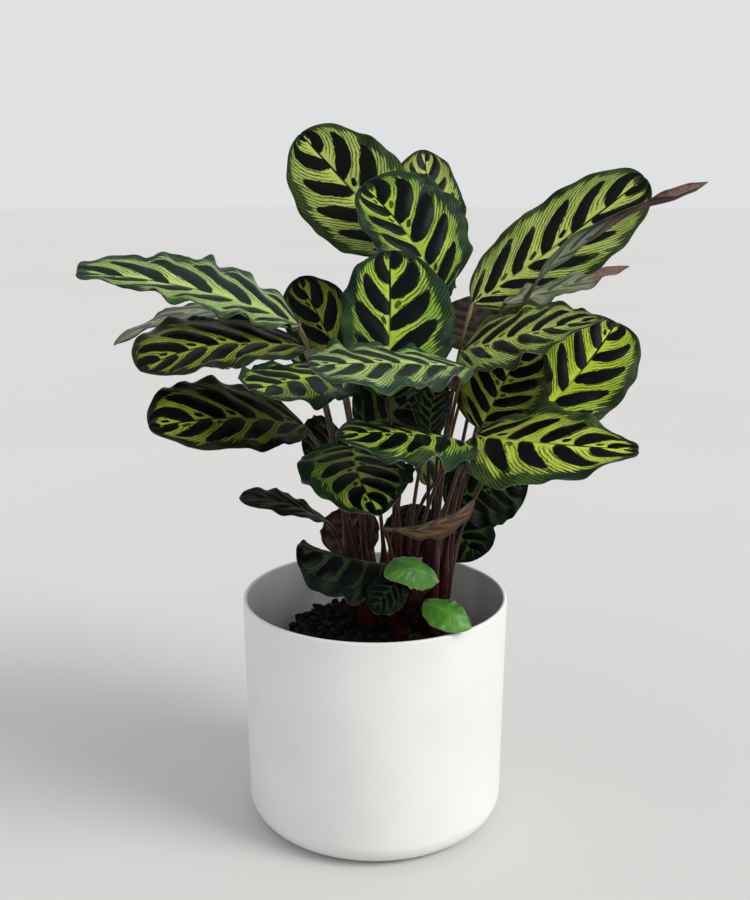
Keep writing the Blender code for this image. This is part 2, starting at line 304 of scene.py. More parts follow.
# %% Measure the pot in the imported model
pot_low, pot_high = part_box("pot")
POT_HEIGHT = pot_high.z - pot_low.z
POT_RIM_RADIUS = (pot_high.x - pot_low.x) / 2
POT_FOOT_RADIUS = POT_RIM_RADIUS - 2 * MM
POT_WALL = 3 * MM
POT_FLOOR = 4 * MM
POT_CORNER_RADIUS = 17 * MM
POT_UNDERSIDE_RING = 60 * MM
POT_FLOOR_RING = 50 * MM
POT_SEGMENTS = 192
CORNER_POINTS = 16
LIP_POINTS = 13
INNER_CORNER_POINTS = 12
print(f"pot: {POT_HEIGHT * 1000:.1f} mm tall, {POT_RIM_RADIUS * 2000:.1f} mm across its rim")


# %% Spin the pot
def arc(centre, radius, start, end, steps):
    """Points on a circle in the section's plane, from one angle in degrees to another."""
    angles = np.radians(np.linspace(start, end, steps))
    return [(centre[0] + radius * math.cos(a), centre[1] + radius * math.sin(a)) for a in angles]


def spin_profile(profile, segments):
    """A closed solid turned about Z from (radius, height) points that start and end on the axis."""
    bm = bmesh.new()
    points = [bm.verts.new((radius, 0.0, height)) for radius, height in profile]
    edges = [bm.edges.new(pair) for pair in zip(points, points[1:])]
    bmesh.ops.spin(bm, geom=points + edges, cent=(0, 0, 0), axis=(0, 0, 1), dvec=(0, 0, 0),
                   angle=2 * math.pi, steps=segments, use_merge=True)
    bmesh.ops.remove_doubles(bm, verts=bm.verts, dist=TOUCHING)
    bmesh.ops.recalc_face_normals(bm, faces=bm.faces)
    return bm


def pot_profile():
    """Underside, corner, side, lip, inside, inner corner and floor. Two rings divide the flat discs."""
    lip = POT_WALL / 2
    inner_corner = POT_CORNER_RADIUS - POT_WALL
    inner_foot = POT_FOOT_RADIUS - POT_WALL
    outer_centre = (POT_FOOT_RADIUS - POT_CORNER_RADIUS, POT_CORNER_RADIUS)
    inner_centre = (inner_foot - inner_corner, POT_FLOOR + inner_corner)
    outer = arc(outer_centre, POT_CORNER_RADIUS, -90, 0, CORNER_POINTS)
    top = arc((POT_RIM_RADIUS - lip, POT_HEIGHT - lip), lip, 0, 180, LIP_POINTS)
    inner = arc(inner_centre, inner_corner, 0, -90, INNER_CORNER_POINTS)
    return [(0.0, 0.0), (POT_UNDERSIDE_RING, 0.0), *outer, *top, *inner,
            (POT_FLOOR_RING, POT_FLOOR), (0.0, POT_FLOOR)]


print("points in the pot's section:", len(pot_profile()))


# %% [markdown]
# The pot's finish is a matt white with a slight silkiness. Light slides over it in broad soft bands,
# so the roughness is moderate, and a very fine grain keeps it from looking like glazed china. A faint
# uneven gloss, as from being wiped with a damp cloth, breaks up the reflections.

# %% The white of the pot
def make_pot_white():
    material, tree, shader = new_material("pot_white")
    place = object_place(tree)
    soft, fine = mottle_of(tree, place, 16.0)
    colour = blend(tree, soft, srgb(223, 222, 220), srgb(230, 229, 227))
    fill_shader(shader, colour, soft * 0.07 + fine * 0.03 + 0.40, 0.45, bump_of(tree, fine, 0.03 * MM))
    return material


pot = finish_piece("cover_pot", spin_profile(pot_profile(), POT_SEGMENTS), [make_pot_white()],
                   "pot")
print("pot faces:", len(pot.data.polygons))

# %% [markdown]
# ## The soil
# Potting mix is dark, moist and crumbly. It stands a little proud in the middle, where the plant was
# set in, and falls away towards the wall. The mound is spun like the pot and then its skin is pushed
# up and down by fractal noise, coarse for the lumps and fine for the grains. Loose crumbs lie on top.

# %% Spin and roughen the mound
SOIL_CROWN = 3 * MM
SOIL_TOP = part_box("soil")[1].z - SOIL_CROWN
SOIL_SHOULDER_RADIUS = 55 * MM
SOIL_SLOPE = (74 * MM, 111 * MM)
SOIL_EDGE = (85.2 * MM, 98 * MM)
SOIL_BOTTOM = POT_FLOOR + GAP
SOIL_CORNER_RADIUS = POT_CORNER_RADIUS - POT_WALL
SOIL_CORNER_POINTS = 6
SLOPE_RINGS = 22
DOME_RINGS = 34
DOME_INSET = 1.5 * MM
SOIL_SEGMENTS = 220
ROUGH_ABOVE = 96 * MM
ROUGH_WITHIN = 84 * MM
LUMPS_PER_METRE = 160
LUMP_HEIGHT = 1.3 * MM
LUMP_FRACTAL = (0.9, 2.1, 4)
GRAINS_PER_METRE = 900
GRAIN_HEIGHT = 0.7 * MM


def soil_height(radius):
    """The skin's height at a distance from the axis: a low dome, then a slope down to the wall."""
    if radius < SOIL_SHOULDER_RADIUS:
        return SOIL_TOP + SOIL_CROWN * (1 - (radius / SOIL_SHOULDER_RADIUS) ** 2)
    radii, heights = zip((SOIL_SHOULDER_RADIUS, SOIL_TOP), SOIL_SLOPE, SOIL_EDGE)
    return float(np.interp(radius, radii, heights))


def soil_profile():
    corner = (POT_FOOT_RADIUS - POT_CORNER_RADIUS - 2 * GAP, SOIL_BOTTOM + SOIL_CORNER_RADIUS)
    bottom = arc(corner, SOIL_CORNER_RADIUS, -90, 0, SOIL_CORNER_POINTS)
    slope = np.linspace(SOIL_EDGE[0], SOIL_SHOULDER_RADIUS, SLOPE_RINGS)
    dome = np.linspace(SOIL_SHOULDER_RADIUS - DOME_INSET, 0.0, DOME_RINGS)
    return [(0.0, SOIL_BOTTOM), *bottom, *((radius, soil_height(radius)) for radius in (*slope, *dome))]


def roughen(bm):
    """Lumps and grains on the upper skin, none at the wall."""
    bm.normal_update()
    for vert in bm.verts:
        radius = math.hypot(vert.co.x, vert.co.y)
        if vert.co.z < ROUGH_ABOVE or radius > ROUGH_WITHIN:
            continue
        lumps = noise.fractal(vert.co * LUMPS_PER_METRE, *LUMP_FRACTAL) * LUMP_HEIGHT
        grains = noise.noise(vert.co * GRAINS_PER_METRE) * GRAIN_HEIGHT
        vert.co += vert.normal * (lumps + grains)


soil_mound = spin_profile(soil_profile(), SOIL_SEGMENTS)
roughen(soil_mound)
print(f"mound: {len(soil_mound.verts)} vertices, {SOIL_TOP / MM:.3f} mm high at its shoulder")


# %% [markdown]
# The crumbs are many, so each is only a small ball of twenty faces knocked out of shape: a short run
# of bark, a clod of peat. A seeded random generator drops them, more thickly near the mound's edge.

# %% Drop crumbs and bits of bark on the mound
CRUMBS = 1100
CRUMB_SEED = 11
CRUMB_FIELD_RADIUS = 83 * MM
CRUMB_CROWDING = 0.62
CRUMB_SIZES = (0.6, 0.9, 0.9, 1.3, 1.3, 1.9, 2.8)
CRUMB_MOST_TURN = 6.3
CRUMB_MOST_LEAN = 0.6


def add_crumb(bm, draw):
    """One crumb lying on the mound. Sizes are in millimetres, and the common ones are listed twice."""
    radius = CRUMB_FIELD_RADIUS * draw.random() ** CRUMB_CROWDING
    turn = draw.uniform(0, 2 * math.pi)
    size = draw.choice(CRUMB_SIZES) * draw.uniform(0.8, 1.3) * MM
    stretch = Vector((draw.uniform(0.8, 1.9), draw.uniform(0.7, 1.1), draw.uniform(0.6, 1.0)))
    made = bmesh.ops.create_icosphere(bm, subdivisions=1, radius=size)["verts"]
    spin = Matrix.Rotation(draw.uniform(0, CRUMB_MOST_TURN), 3, "Z")
    lean = Matrix.Rotation(draw.uniform(-CRUMB_MOST_LEAN, CRUMB_MOST_LEAN), 3, "Y")
    height = soil_height(radius) + size * 0.4
    place = Vector((radius * math.cos(turn), radius * math.sin(turn), height))
    for vert in made:
        ball = vert.co * draw.uniform(0.75, 1.25)
        vert.co = spin @ lean @ Vector(a * b for a, b in zip(ball, stretch)) + place


def make_crumbs():
    draw = random.Random(CRUMB_SEED)
    bm = bmesh.new()
    for _ in range(CRUMBS):
        add_crumb(bm, draw)
    return bm


def make_soil_dark_and_shaded(name, dark, light):
    """Moist peat: almost black, partly its own colour and partly painted shade inside the pot. A little
    brown where it dries, with a faint wet glint.
    """
    material, tree, shader = new_material(name)
    place = object_place(tree)
    soft, fine = mottle_of(tree, place, 90.0)
    grain = noise_of(tree, place, 1500.0, detail=4.0)
    fill_shader(shader, blend(tree, soft * fine, dark, light), fine * 0.35 + 0.55, 0.1,
                bump_of(tree, grain, 0.4 * MM))
    return material


# The soil colours are partly the peat's own dark brown and partly painted shade from inside the pot.
soil_peat = make_soil_dark_and_shaded("soil_peat", srgb(6, 5, 5), srgb(24, 20, 17))
soil_crumb = make_soil_dark_and_shaded("soil_crumb", srgb(8, 7, 6), srgb(34, 28, 23))
soil = finish_piece("soil_mound", soil_mound, [soil_peat], "soil")
crumbs = finish_piece("soil_crumbs", make_crumbs(), [soil_crumb])
print("soil faces:", len(soil.data.polygons), "and crumb faces:", len(crumbs.data.polygons))

# %% [markdown]
# ## The stub of an old stalk
# Between the shoots stands the stub of a stalk that died and was cut. It is pinkish brown, dry and
# fibrous, a little wider at the bottom, with a ragged cut. A disc is drawn upwards ring by ring, and
# the rings are pushed about by noise. The stalks will be drawn in the same way.

# %% Draw a tube ring by ring
STUB_RINGS = 9
STUB_SIDES = 20
STUB_TAPER = 0.2
STUB_RIBS = 5
STUB_RIB_DEPTH = 0.10
STUB_RAGGEDNESS = 1.2 * MM


def draw_tube(bm, rings, layer=None, values=None):
    """A closed solid through rings of points. The layer keeps one vector for each ring's points."""
    circle = bmesh.ops.create_circle(bm, cap_ends=True, segments=len(rings[0]), radius=1.0)
    cap = circle["verts"][0].link_faces[0]
    first_edges = list(cap.edges)
    for index, ring in enumerate(rings):
        if index:
            cap = bmesh.ops.extrude_discrete_faces(bm, faces=[cap])["faces"][0]
        for vert, point in zip(cap.verts, ring):
            vert.co = point
            if layer:
                vert[layer] = values[index]
    bmesh.ops.holes_fill(bm, edges=first_edges)


def make_stub():
    low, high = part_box("old_stalk")
    centre = (low + high) / 2
    widest = (high.x - low.x) / 2
    rings = []
    for rise in np.linspace(0, 1, STUB_RINGS):
        ring = []
        for turn in np.linspace(0, 2 * math.pi, STUB_SIDES, endpoint=False):
            ribs = 1 + STUB_RIB_DEPTH * math.sin(STUB_RIBS * turn + 2 * rise)
            radius = widest * (1 - STUB_TAPER * rise) * ribs
            ragged = STUB_RAGGEDNESS * rise * math.sin(3 * turn + 1)
            height = low.z + (high.z - low.z) * rise + ragged
            x, y = centre.x + radius * math.cos(turn), centre.y + radius * math.sin(turn)
            ring.append(Vector((x, y, height)))
        rings.append(ring)
    bm = bmesh.new()
    draw_tube(bm, rings)
    bmesh.ops.recalc_face_normals(bm, faces=bm.faces)
    return bm


def make_stub_finish():
    """Dry, pinkish brown, streaked upwards."""
    material, tree, shader = new_material("old_stalk_pink")
    place = object_place(tree)
    soft, fine = mottle_of(tree, place, 260.0)
    colour = blend(tree, soft * 0.7 + fine * 0.3, srgb(92, 66, 56), srgb(168, 138, 122))
    fill_shader(shader, colour, 0.8, 0.5, bump_of(tree, fine, 0.4 * MM))
    return material


stub = finish_piece("old_stalk_stub", make_stub(), [make_stub_finish()], "old_stalk")
print("stub faces:", len(stub.data.polygons))

# %% [markdown]
# ## The leaves, one by one
# Each leaf is listed, as a gardener would tie it in: the shoot it grows from, the base,
# middle and tip of its midrib, how wide it is and which way its upper side faces. The imported blades
# were made from the same list, and the list repeats them here because their fine shape can't be read
# back from a few flat faces. Places are in centimetres. A later cell measures each finished blade
# against its packed one.

# %% The list of leaves
SHOOTS = {
    "middle": (1.0, 1.2),
    "right": (4.3, 0.8),
    "back_right": (3.6, 2.9),
    "back": (1.6, 3.8),
    "back_left": (-0.4, 3.0),
    "left": (-1.2, 1.0),
    "front_left": (-0.4, -1.0),
    "front": (1.7, -1.9),
    "front_right": (3.5, -1.2),
}


class Leaf(NamedTuple):
    """One leaf: where its midrib runs, in centimetres, and how its blade is shaped."""

    name: str
    shoot: str
    base: tuple
    mid: tuple
    tip: tuple
    width: float
    face: tuple
    taper: float = 0.5
    ruffle: float = 0.3
    fold: float = 0.15
    curl: float = -0.15
    halves: tuple = (1.0, 1.0)


LEAVES = (
    Leaf("top_back", "middle", (2, 2, 38.8), (-1.3, 5, 42.4), (-5.1, 7, 46.4), 7.7, (-0.1, -0.85, 0.5)),
    Leaf("top_hidden", "back_right", (3.6, 5, 38.1), (3.7, 8, 41.7), (3.5, 10, 45.4), 5.8,
         (0.35, -0.8, 0.5), taper=0.6),
    Leaf("top_front", "middle", (4.2, -1, 36.6), (2, 0, 40.1), (-0.8, 1.2, 43), 8.0, (0.35, -0.8, 0.5),
         fold=0.3, halves=(0.75, 1.1)),
    Leaf("centre", "front", (0.7, -7.5, 30.8), (0.9, -5, 35), (0.9, -2, 39.1), 7.2, (0.05, -0.9, 0.45),
         halves=(0.85, 1.12)),
    Leaf("front_pale", "front_right", (5.3, -7.5, 32.7), (0.6, -11, 33.5), (-3.6, -13, 33.6), 7.2,
         (0, -0.28, 1), taper=0.42, ruffle=0.42, halves=(1.05, 0.75)),
    Leaf("left_long", "left", (-4.8, -1.7, 34.4), (-10.6, -4.6, 36.9), (-17.7, -6, 38.1), 6.4,
         (0, -0.5, 0.87), taper=1.0, ruffle=0.5, halves=(0.65, 1.25)),
    Leaf("left_upright", "back_left", (-1.5, 2, 29.6), (-3.3, 4, 33.2), (-5.4, 6, 36.7), 5.2,
         (0.1, -0.9, 0.4)),
    Leaf("left_grey", "left", (-4.9, 0.6, 33.9), (-11.3, 2, 34.9), (-17.5, 2, 32.6), 5.5, (0, -0.12, 1),
         taper=0.6),
    Leaf("left_dark", "left", (-4.5, -2, 33.1), (-9.5, -6, 33.8), (-13.6, -9, 32.7), 7.0,
         (-0.1, -0.5, 0.85), halves=(0.8, 1.1)),
    Leaf("left_low", "front_left", (-4.5, -3, 28.2), (-8.5, -7, 29.5), (-13, -10, 29.5), 6.9,
         (0, -0.6, 0.8), halves=(0.85, 1.1)),
    Leaf("left_inner", "front_left", (-2.4, -3.6, 31.9), (-4.8, -8.2, 32), (-7, -11.5, 32), 6.6,
         (0, -0.45, 0.9), halves=(1.05, 0.8)),
    Leaf("right_top", "back_right", (6.6, 3, 35.3), (12.1, 5, 38.8), (18.6, 7, 43.5), 6.3,
         (0.1, -0.85, 0.5), taper=0.42),
    Leaf("right_rolled", "right", (10.1, -2, 37.1), (13.8, -2, 40.4), (20.5, -2, 43.3), 1.5, (0, -1, 0.5),
         taper=0.6),
    Leaf("right_edge", "right", (8.5, 1.2, 35.5), (12.4, 1.2, 36.6), (16.6, 1.2, 37.9), 3.6, (0, -0.2, 1),
         taper=0.8, ruffle=0.35),
    Leaf("right_upper", "front_right", (5.5, -3, 33), (9.5, -6, 34.6), (13.3, -8, 35.6), 6.5,
         (-0.15, -0.5, 0.85), taper=1.15, ruffle=0.4),
    Leaf("right_face", "right", (9.6, 0, 26.8), (13.7, 2, 30.6), (16.6, 4.5, 33.8), 6.7, (-0.1, -0.9, 0.4),
         taper=0.42),
    Leaf("right_front", "front_right", (6.3, -5, 28), (10.4, -10, 28.6), (14.8, -12, 28.7), 7.4,
         (0, -0.62, 0.78), taper=1.1, ruffle=0.45, halves=(0.88, 1.08)),
    Leaf("front_low", "front", (5.2, -8, 28.3), (1.7, -12.4, 29.8), (-2.1, -14, 30), 7.0,
         (0, -0.22, 0.97), taper=0.6, ruffle=0.4, fold=0.05, curl=-0.3, halves=(0.9, 1.1)),
    Leaf("front_tip", "front_left", (-1.2, -5, 27.2), (-1, -10, 26.8), (0.3, -13.5, 25.3), 6.9,
         (0.05, -0.35, 0.93), taper=0.7),
    Leaf("left_shelf", "left", (-3.1, -2, 21.5), (-5.7, -3, 23), (-8.7, -3, 23.5), 3.2, (0, -0.2, 1),
         taper=0.4, ruffle=0.15),
    Leaf("rim_left", "front_left", (0.6, -3, 18.9), (-2.1, -6, 20.4), (-4.8, -7, 21.4), 5.8,
         (0, -0.35, 0.9), fold=-0.35),
    Leaf("rim_small", "front", (1.5, -6.6, 19.2), (0.7, -7.6, 18.5), (-0.2, -8, 17.6), 2.6, (0, -0.7, 0.7),
         ruffle=0.12),
    Leaf("young_upper", "front", (4, -5.5, 18.6), (2.3, -6.5, 19.8), (0.6, -7.3, 19.5), 2.6, (0, -0.6, 0.8),
         taper=0.65, ruffle=0.1, fold=-0.2),
    Leaf("young_lower", "front_right", (3.2, -5.5, 17.3), (4.5, -7, 17.1), (6, -7.5, 16.2), 2.4,
         (0, -0.6, 0.8), taper=0.65, ruffle=0.1, fold=-0.2),
    Leaf("right_back_low", "back_right", (4.9, 2, 21.5), (7.6, 2.2, 22.6), (10.6, 2.4, 22.9), 5.5,
         (0, -0.95, 0.3)),
    Leaf("right_hang", "back_right", (4.5, 4.8, 19.7), (6.2, 5.2, 18.3), (7.3, 5.2, 16.4), 5.0,
         (0.1, -0.9, -0.2)),
    Leaf("front_rolled", "front", (0.6, -6, 22.3), (3.2, -8, 23), (6, -8, 24.5), 2.6, (0, 0.6, 0.8),
         taper=0.38, ruffle=0.12, curl=-0.5),
    Leaf("right_inner", "right", (6.7, -3.4, 28), (8.1, -2.8, 30.8), (9.9, -1.8, 33.5), 6.2,
         (-0.2, -0.85, 0.4)),
    Leaf("back_brown", "back_right", (7.1, 3, 32), (6.9, 5, 33.8), (6.6, 7, 35.3), 5.5, (0, 0.8, -0.3)),
    Leaf("back_dark", "back_right", (10.2, 5, 31), (10.2, 7, 33.5), (10, 8, 35.3), 6.0, (0, -0.9, 0.3)),
    Leaf("centre_low", "middle", (-0.5, -2, 27.1), (1.6, -2, 29.2), (4.4, -1.8, 31), 6.5, (0, -0.85, 0.5)),
    Leaf("centre_slim", "front", (3.4, -5.5, 28.3), (3.5, -5.5, 30), (3.8, -5.5, 31.4), 3.4,
         (0.7, -0.7, 0.1), ruffle=0.15),
    Leaf("left_olive", "back_left", (-2.1, 2.5, 26.1), (-3.5, 2.6, 25.5), (-4.9, 2.6, 25), 4.5,
         (0, -0.9, 0.3)),
    Leaf("hang_left", "back_left", (-0.6, 5.6, 20.2), (-1.8, 5.9, 18.3), (-2.6, 5.8, 16.5), 4.4,
         (-0.1, 0.95, 0.2)),
    Leaf("hang_middle", "back", (2.6, 5.8, 20.4), (2.9, 6.3, 18.3), (2.9, 6.3, 16.2), 4.6,
         (0.1, 0.95, 0.2)),
    Leaf("rear_left", "back_left", (-2, 5, 29), (-6, 9, 31), (-10, 12, 30.5), 6.8, (-0.2, 0.4, 0.9)),
    Leaf("rear_middle", "back", (1, 5, 30), (0, 10, 32.5), (-1, 14.5, 32.5), 7.0, (0, 0.4, 0.9)),
    Leaf("rear_right", "back_right", (5, 5.5, 29), (9, 9.5, 30), (13, 12.5, 29.5), 6.8, (0.2, 0.4, 0.9)),
    Leaf("rear_low_left", "back_left", (0, 5, 21), (-2, 9, 22), (-4, 13, 20.5), 6.0, (-0.2, 0.5, 0.85)),
    Leaf("rear_low_right", "back", (4, 5, 22), (6.5, 9, 23.5), (9, 13, 22), 6.2, (0.2, 0.5, 0.85)),
    Leaf("rear_high", "back", (1.8, 4.6, 34), (2.5, 8.5, 36.6), (3.5, 12.5, 37.5), 6.8, (0.1, -0.6, 0.8)),
)
print("leaves:", len(LEAVES))

# %% [markdown]
# ## The shape of a blade
# A calathea blade is a thin oval with a rounded base, a blunt tip and a wavy edge. Its midrib is a
# gentle curve through three points. Across the midrib the blade rises or falls from a fold, curls
# over towards its edges, and the edge itself waves up and down. All of that is worked out from two
# numbers: u runs along the midrib from base to tip, and v runs across from one edge, -1, to the
# other, 1. The same two numbers stay on the mesh as an attribute, and the marks are drawn with them.
# Two leaves end more bluntly than an oval does, and a small table says how bluntly.

# %% The midrib and the outline
BASE_FULLNESS = 0.52
BLUNT_TIPS = {"left_long": 0.66, "right_front": 0.3}
BLUNT_CLOSING = 0.2
BLUNT_BLEND = 3
VEINS = 4.6
MORE_VEINS = 1.4
VEIN_SLANT = 0.19
VEIN_BEND = 0.19
VEIN_SHIFT = 7.0


def unit(vectors):
    return vectors / np.linalg.norm(vectors, axis=-1, keepdims=True)


def midrib(leaf, u):
    """Places on the midrib and its directions there, for u from 0 at the base to 1 at the tip."""
    u = np.asarray(u, float).reshape(-1, 1)
    base, mid, tip = (np.array(p, float) * CM for p in (leaf.base, leaf.mid, leaf.tip))
    bend = 2 * mid - (base + tip) / 2
    places = (1 - u) ** 2 * base + 2 * u * (1 - u) * bend + u * u * tip
    return places, unit(2 * (1 - u) * (bend - base) + 2 * u * (tip - bend))


def leaf_frame(leaf, u):
    """Places on the midrib, with the directions along it, out of the upper side and across."""
    places, along = midrib(leaf, u)
    face = np.array(leaf.face, float)
    up = unit(face - along * (along @ face)[:, None])
    return places, along, up, np.cross(along, up)


def outline(leaf, u):
    """The half-width as a share of the widest one. A blunt tip stays open until just before its end."""
    widest = BASE_FULLNESS / (BASE_FULLNESS + leaf.taper)
    peak = widest ** BASE_FULLNESS * (1 - widest) ** leaf.taper
    oval = u ** BASE_FULLNESS * (1 - u) ** leaf.taper / peak
    blunt = BLUNT_TIPS.get(leaf.name, 0.0) * u * (1 - u) ** BLUNT_CLOSING
    return (oval ** BLUNT_BLEND + blunt ** BLUNT_BLEND) ** (1 / BLUNT_BLEND)


def vein_count(u, v, seed):
    """A number that rises by one from each side vein to the next. The veins bend towards the tip."""
    lean = VEIN_SLANT * np.abs(v) + VEIN_BEND * v ** 2
    return (u - lean) * (VEINS + MORE_VEINS * seed) + 0.5 * (v > 0) + VEIN_SHIFT * seed


print("outline of the first leaf:", outline(LEAVES[0], np.linspace(0, 1, 5)).round(2))

# %% [markdown]
# The margin waves up and down in two long waves laid over each other, which differ from leaf to leaf
# and from one half of a leaf to the other. On three leaves the waves follow each other more closely.
# Seen closely, the blade isn't smooth between its edges either: it puffs up a little over each dark
# mark and sinks along the pale bands, and the midrib lies in a shallow groove. These small swells
# follow the side veins, which leave the midrib at a slant and bend towards the tip.

# %% The waves and the fine relief of a blade
EDGE_WAVES = ((0.65, 3.0, 1.0, 2.1), (0.35, 5.1, 2.3, 0.7))
EDGE_WAVE_POWER = 2.2
RIPPLES = {"left_long": (1.7, 1.36), "front_pale": (1.25, 0.6), "right_upper": (1.3, 0.0)}
SWELL = 0.6 * MM
PLEAT = 1.4 * MM
FLUTE = 0.4 * MM
FLUTES_PER_VEIN = 2.3
GROOVE = 0.7 * MM
GROOVE_WIDTH = 0.06
USUAL_RUFFLE = 0.3
USUAL_WIDTH = 7.0


def edge_wave(leaf, phase, u, right):
    """The waves of the margin, from -1 to 1. Each has a height, a number of turns and two shifts."""
    closer, start = RIPPLES.get(leaf.name, (1.0, 0.0))
    wave = 0.0
    for height, turns, stretch, shift in EDGE_WAVES:
        angle = 2 * math.pi * turns * closer * u + stretch * phase + shift * right + start
        wave = wave + height * np.sin(angle)
    return wave


def fine_relief(leaf, phase, u, v, share):
    """Swells over the marks, pleats and small flutes towards the edge, the groove of the midrib."""
    veins = 2 * math.pi * vein_count(u, v, phase % 1.0)
    patches = 0.7 + 0.5 * np.sin(2 * math.pi * 1.3 * u + 9 * phase + 2 * (v > 0))
    crisp = leaf.ruffle / USUAL_RUFFLE * patches
    swells = -SWELL * np.cos(veins) * np.sin(math.pi * np.abs(v))
    pleats = PLEAT * np.sin(veins + 1.0) * np.abs(v) ** 2.5 * crisp
    flutes = FLUTE * np.sin(FLUTES_PER_VEIN * veins + 2.0) * np.abs(v) ** 5 * crisp
    groove = -GROOVE * np.exp(-(v / GROOVE_WIDTH) ** 2) * (1 - u)
    return ((swells + pleats + flutes) * share + groove) * leaf.width / USUAL_WIDTH


print(f"tallest swells {SWELL / MM} mm, pleats {PLEAT / MM} mm, flutes {FLUTE / MM} mm")

# %% [markdown]
# The surface puts these together. Across the midrib, reach is how far out a point lies and lift how
# high. The fold lifts both halves in a straight line and the curl bends them in proportion to the
# square of the reach. Small scallops, about one for each vein, make the outline a little uneven.

# %% The surface of a blade
SCALLOP_DEPTH = 0.02
SCALLOPS_PER_VEIN = 1.1


def blade_surface(leaf, phase, u, v):
    """Points of the blade's upper side for arrays u and v."""
    places, _, up, across = leaf_frame(leaf, u)
    share = outline(leaf, u)
    half = leaf.width * CM / 2
    right = v > 0
    count = vein_count(u, v, phase % 1.0)
    scallops = 1 + SCALLOP_DEPTH * v ** 4 * np.sin(2 * math.pi * SCALLOPS_PER_VEIN * count)
    reach = half * share * v * scallops * np.where(right, leaf.halves[1], leaf.halves[0])
    lift = leaf.fold * np.abs(reach) + leaf.curl * reach ** 2 / half
    wave = edge_wave(leaf, phase, u, right)
    lift += leaf.ruffle * CM * np.abs(v) ** EDGE_WAVE_POWER * share * wave
    lift += fine_relief(leaf, phase, u, v, share)
    spread = reach * math.cos(math.atan(leaf.fold))
    return places + across * spread[:, None] + up * lift[:, None]


first_base, first_tip = blade_surface(LEAVES[0], 0.0, np.array([0.0, 1.0]), np.zeros(2))
print("first blade from base to tip, mm:", round(float(np.linalg.norm(first_tip - first_base)) / MM))

# %% [markdown]
# The blade's mesh starts as a flat grid. Its rows crowd together at the base and the tip, and its
# columns crowd towards the midrib, because that is where the shape turns fastest. Every vertex is then
# carried to its place on the leaf. A Solidify modifier gives the sheet its thickness, which is weighed
# by vertex: under half a millimetre over the blade, more along the midrib, which is a firm ridge
# underneath. It also gives the underside and the thin edge their own materials. The width of that
# ridge is in centimetres, as the width of a leaf is.

# %% Build one blade
ROWS = 88
COLUMNS = 36
MIDRIB_CROWDING = 1.3
THICKEST = 1.7 * MM
THIN_SHARE = 0.24
RIB_WIDTH = 0.45
RIB_FADE = 0.7


def blade_mesh(leaf, phase, surface):
    """The blade's upper side as a fine sheet, with its leaf_place attribute and rib weights."""
    bm = bmesh.new()
    bmesh.ops.create_grid(bm, x_segments=ROWS, y_segments=COLUMNS, size=1.0)
    flat = np.array([vert.co for vert in bm.verts])
    u = np.clip(0.5 - 0.5 * np.cos((flat[:, 0] + 1) * math.pi / 2), 0.0, 1.0)
    v = -np.sign(flat[:, 1]) * np.abs(flat[:, 1]) ** MIDRIB_CROWDING
    points = surface(leaf, phase, u, v)
    ends = (u < TOUCHING) | (u > 1 - TOUCHING)
    rib = np.exp(-(v * leaf.width / RIB_WIDTH) ** 2) * (1 - u) ** RIB_FADE
    place_layer = bm.verts.layers.float_vector.new("leaf_place")
    weight_layer = bm.verts.layers.deform.new()
    seed = phase % 1.0
    for vert, point, a, b, end, thick in zip(bm.verts, points, u, v, ends, rib):
        vert.co = point
        vert[place_layer] = (a, 0.0 if end else b, seed)
        vert[weight_layer][0] = THIN_SHARE + (1 - THIN_SHARE) * thick
    poles = [vert for vert, end in zip(bm.verts, ends) if end]
    bmesh.ops.remove_doubles(bm, verts=poles, dist=TOUCHING)
    return bm


def make_blade(leaf, phase, materials, surface=blade_surface):
    piece = finish_piece("leaf_" + leaf.name, blade_mesh(leaf, phase, surface), materials,
                         "blade_" + leaf.name)
    piece.vertex_groups.new(name="rib")
    plate = piece.modifiers.new("Thickness", "SOLIDIFY")
    plate.thickness = THICKEST
    plate.offset = -1.0
    plate.vertex_group = "rib"
    plate.material_offset = 1
    plate.material_offset_rim = 2
    return piece


print(f"a blade is {THICKEST * THIN_SHARE / MM:.2f} mm thick, and {THICKEST / MM:.2f} mm at its midrib")

# %% [markdown]
# ## The marks of the leaf
# The marks are what makes this plant. Lime-green bands follow the side veins in arcs, with two to four
# fine dark lines in each. Between them sit large dark teardrops, offset left and right of the midrib
# like the leaflets of a fern, with small dark drops near the midrib between some of them. The bands
# end in feathered strokes, and beyond them runs a plain dark green margin.
#
# The group takes the place on the leaf. It first straightens the curved veins: k counts them, so every
# whole step of k is one teardrop. d is the distance from the teardrop's middle line and s the distance
# from the midrib, and each mark is then a simple shape in d and s.

# %% The drops
DROP_WIDTH = 0.3
DROP_MIDDLE = 0.34
DROP_MIDDLE_DRIFT = 0.06
DROP_INNER = 0.40
DROP_OUTER = 0.30
DROP_OUTER_DRIFT = 0.10
EGG_POWER = 2.2
SMALL_DROP_MIDDLE = 0.12
SMALL_DROP_WIDTH = 0.12
SMALL_DROP_LENGTH = 0.06
SMALL_DROPS_MISSING = 0.55
SMALL_DROP_SEED = 31.0


def large_drops(group, k, s, side, seed, tremble, drop_width):
    """One drop for each whole step of k, egg-shaped from the midrib outwards."""
    index = k.floor()
    d = (k - index - 0.5).abs()
    size = chance_of(group, vector_of(group, index, side, seed))
    middle = size * DROP_MIDDLE_DRIFT + DROP_MIDDLE
    inner = (middle - s).most(0.0) / DROP_INNER
    outer = (s - middle).most(0.0) / (size * DROP_OUTER_DRIFT + DROP_OUTER)
    egg = (1.0 - (inner + outer) ** EGG_POWER).most(0.0) ** 0.5
    width = drop_width * egg * (size * 0.3 + 0.85)
    return (width - d + tremble * 0.08).step(-0.02, 0.03)


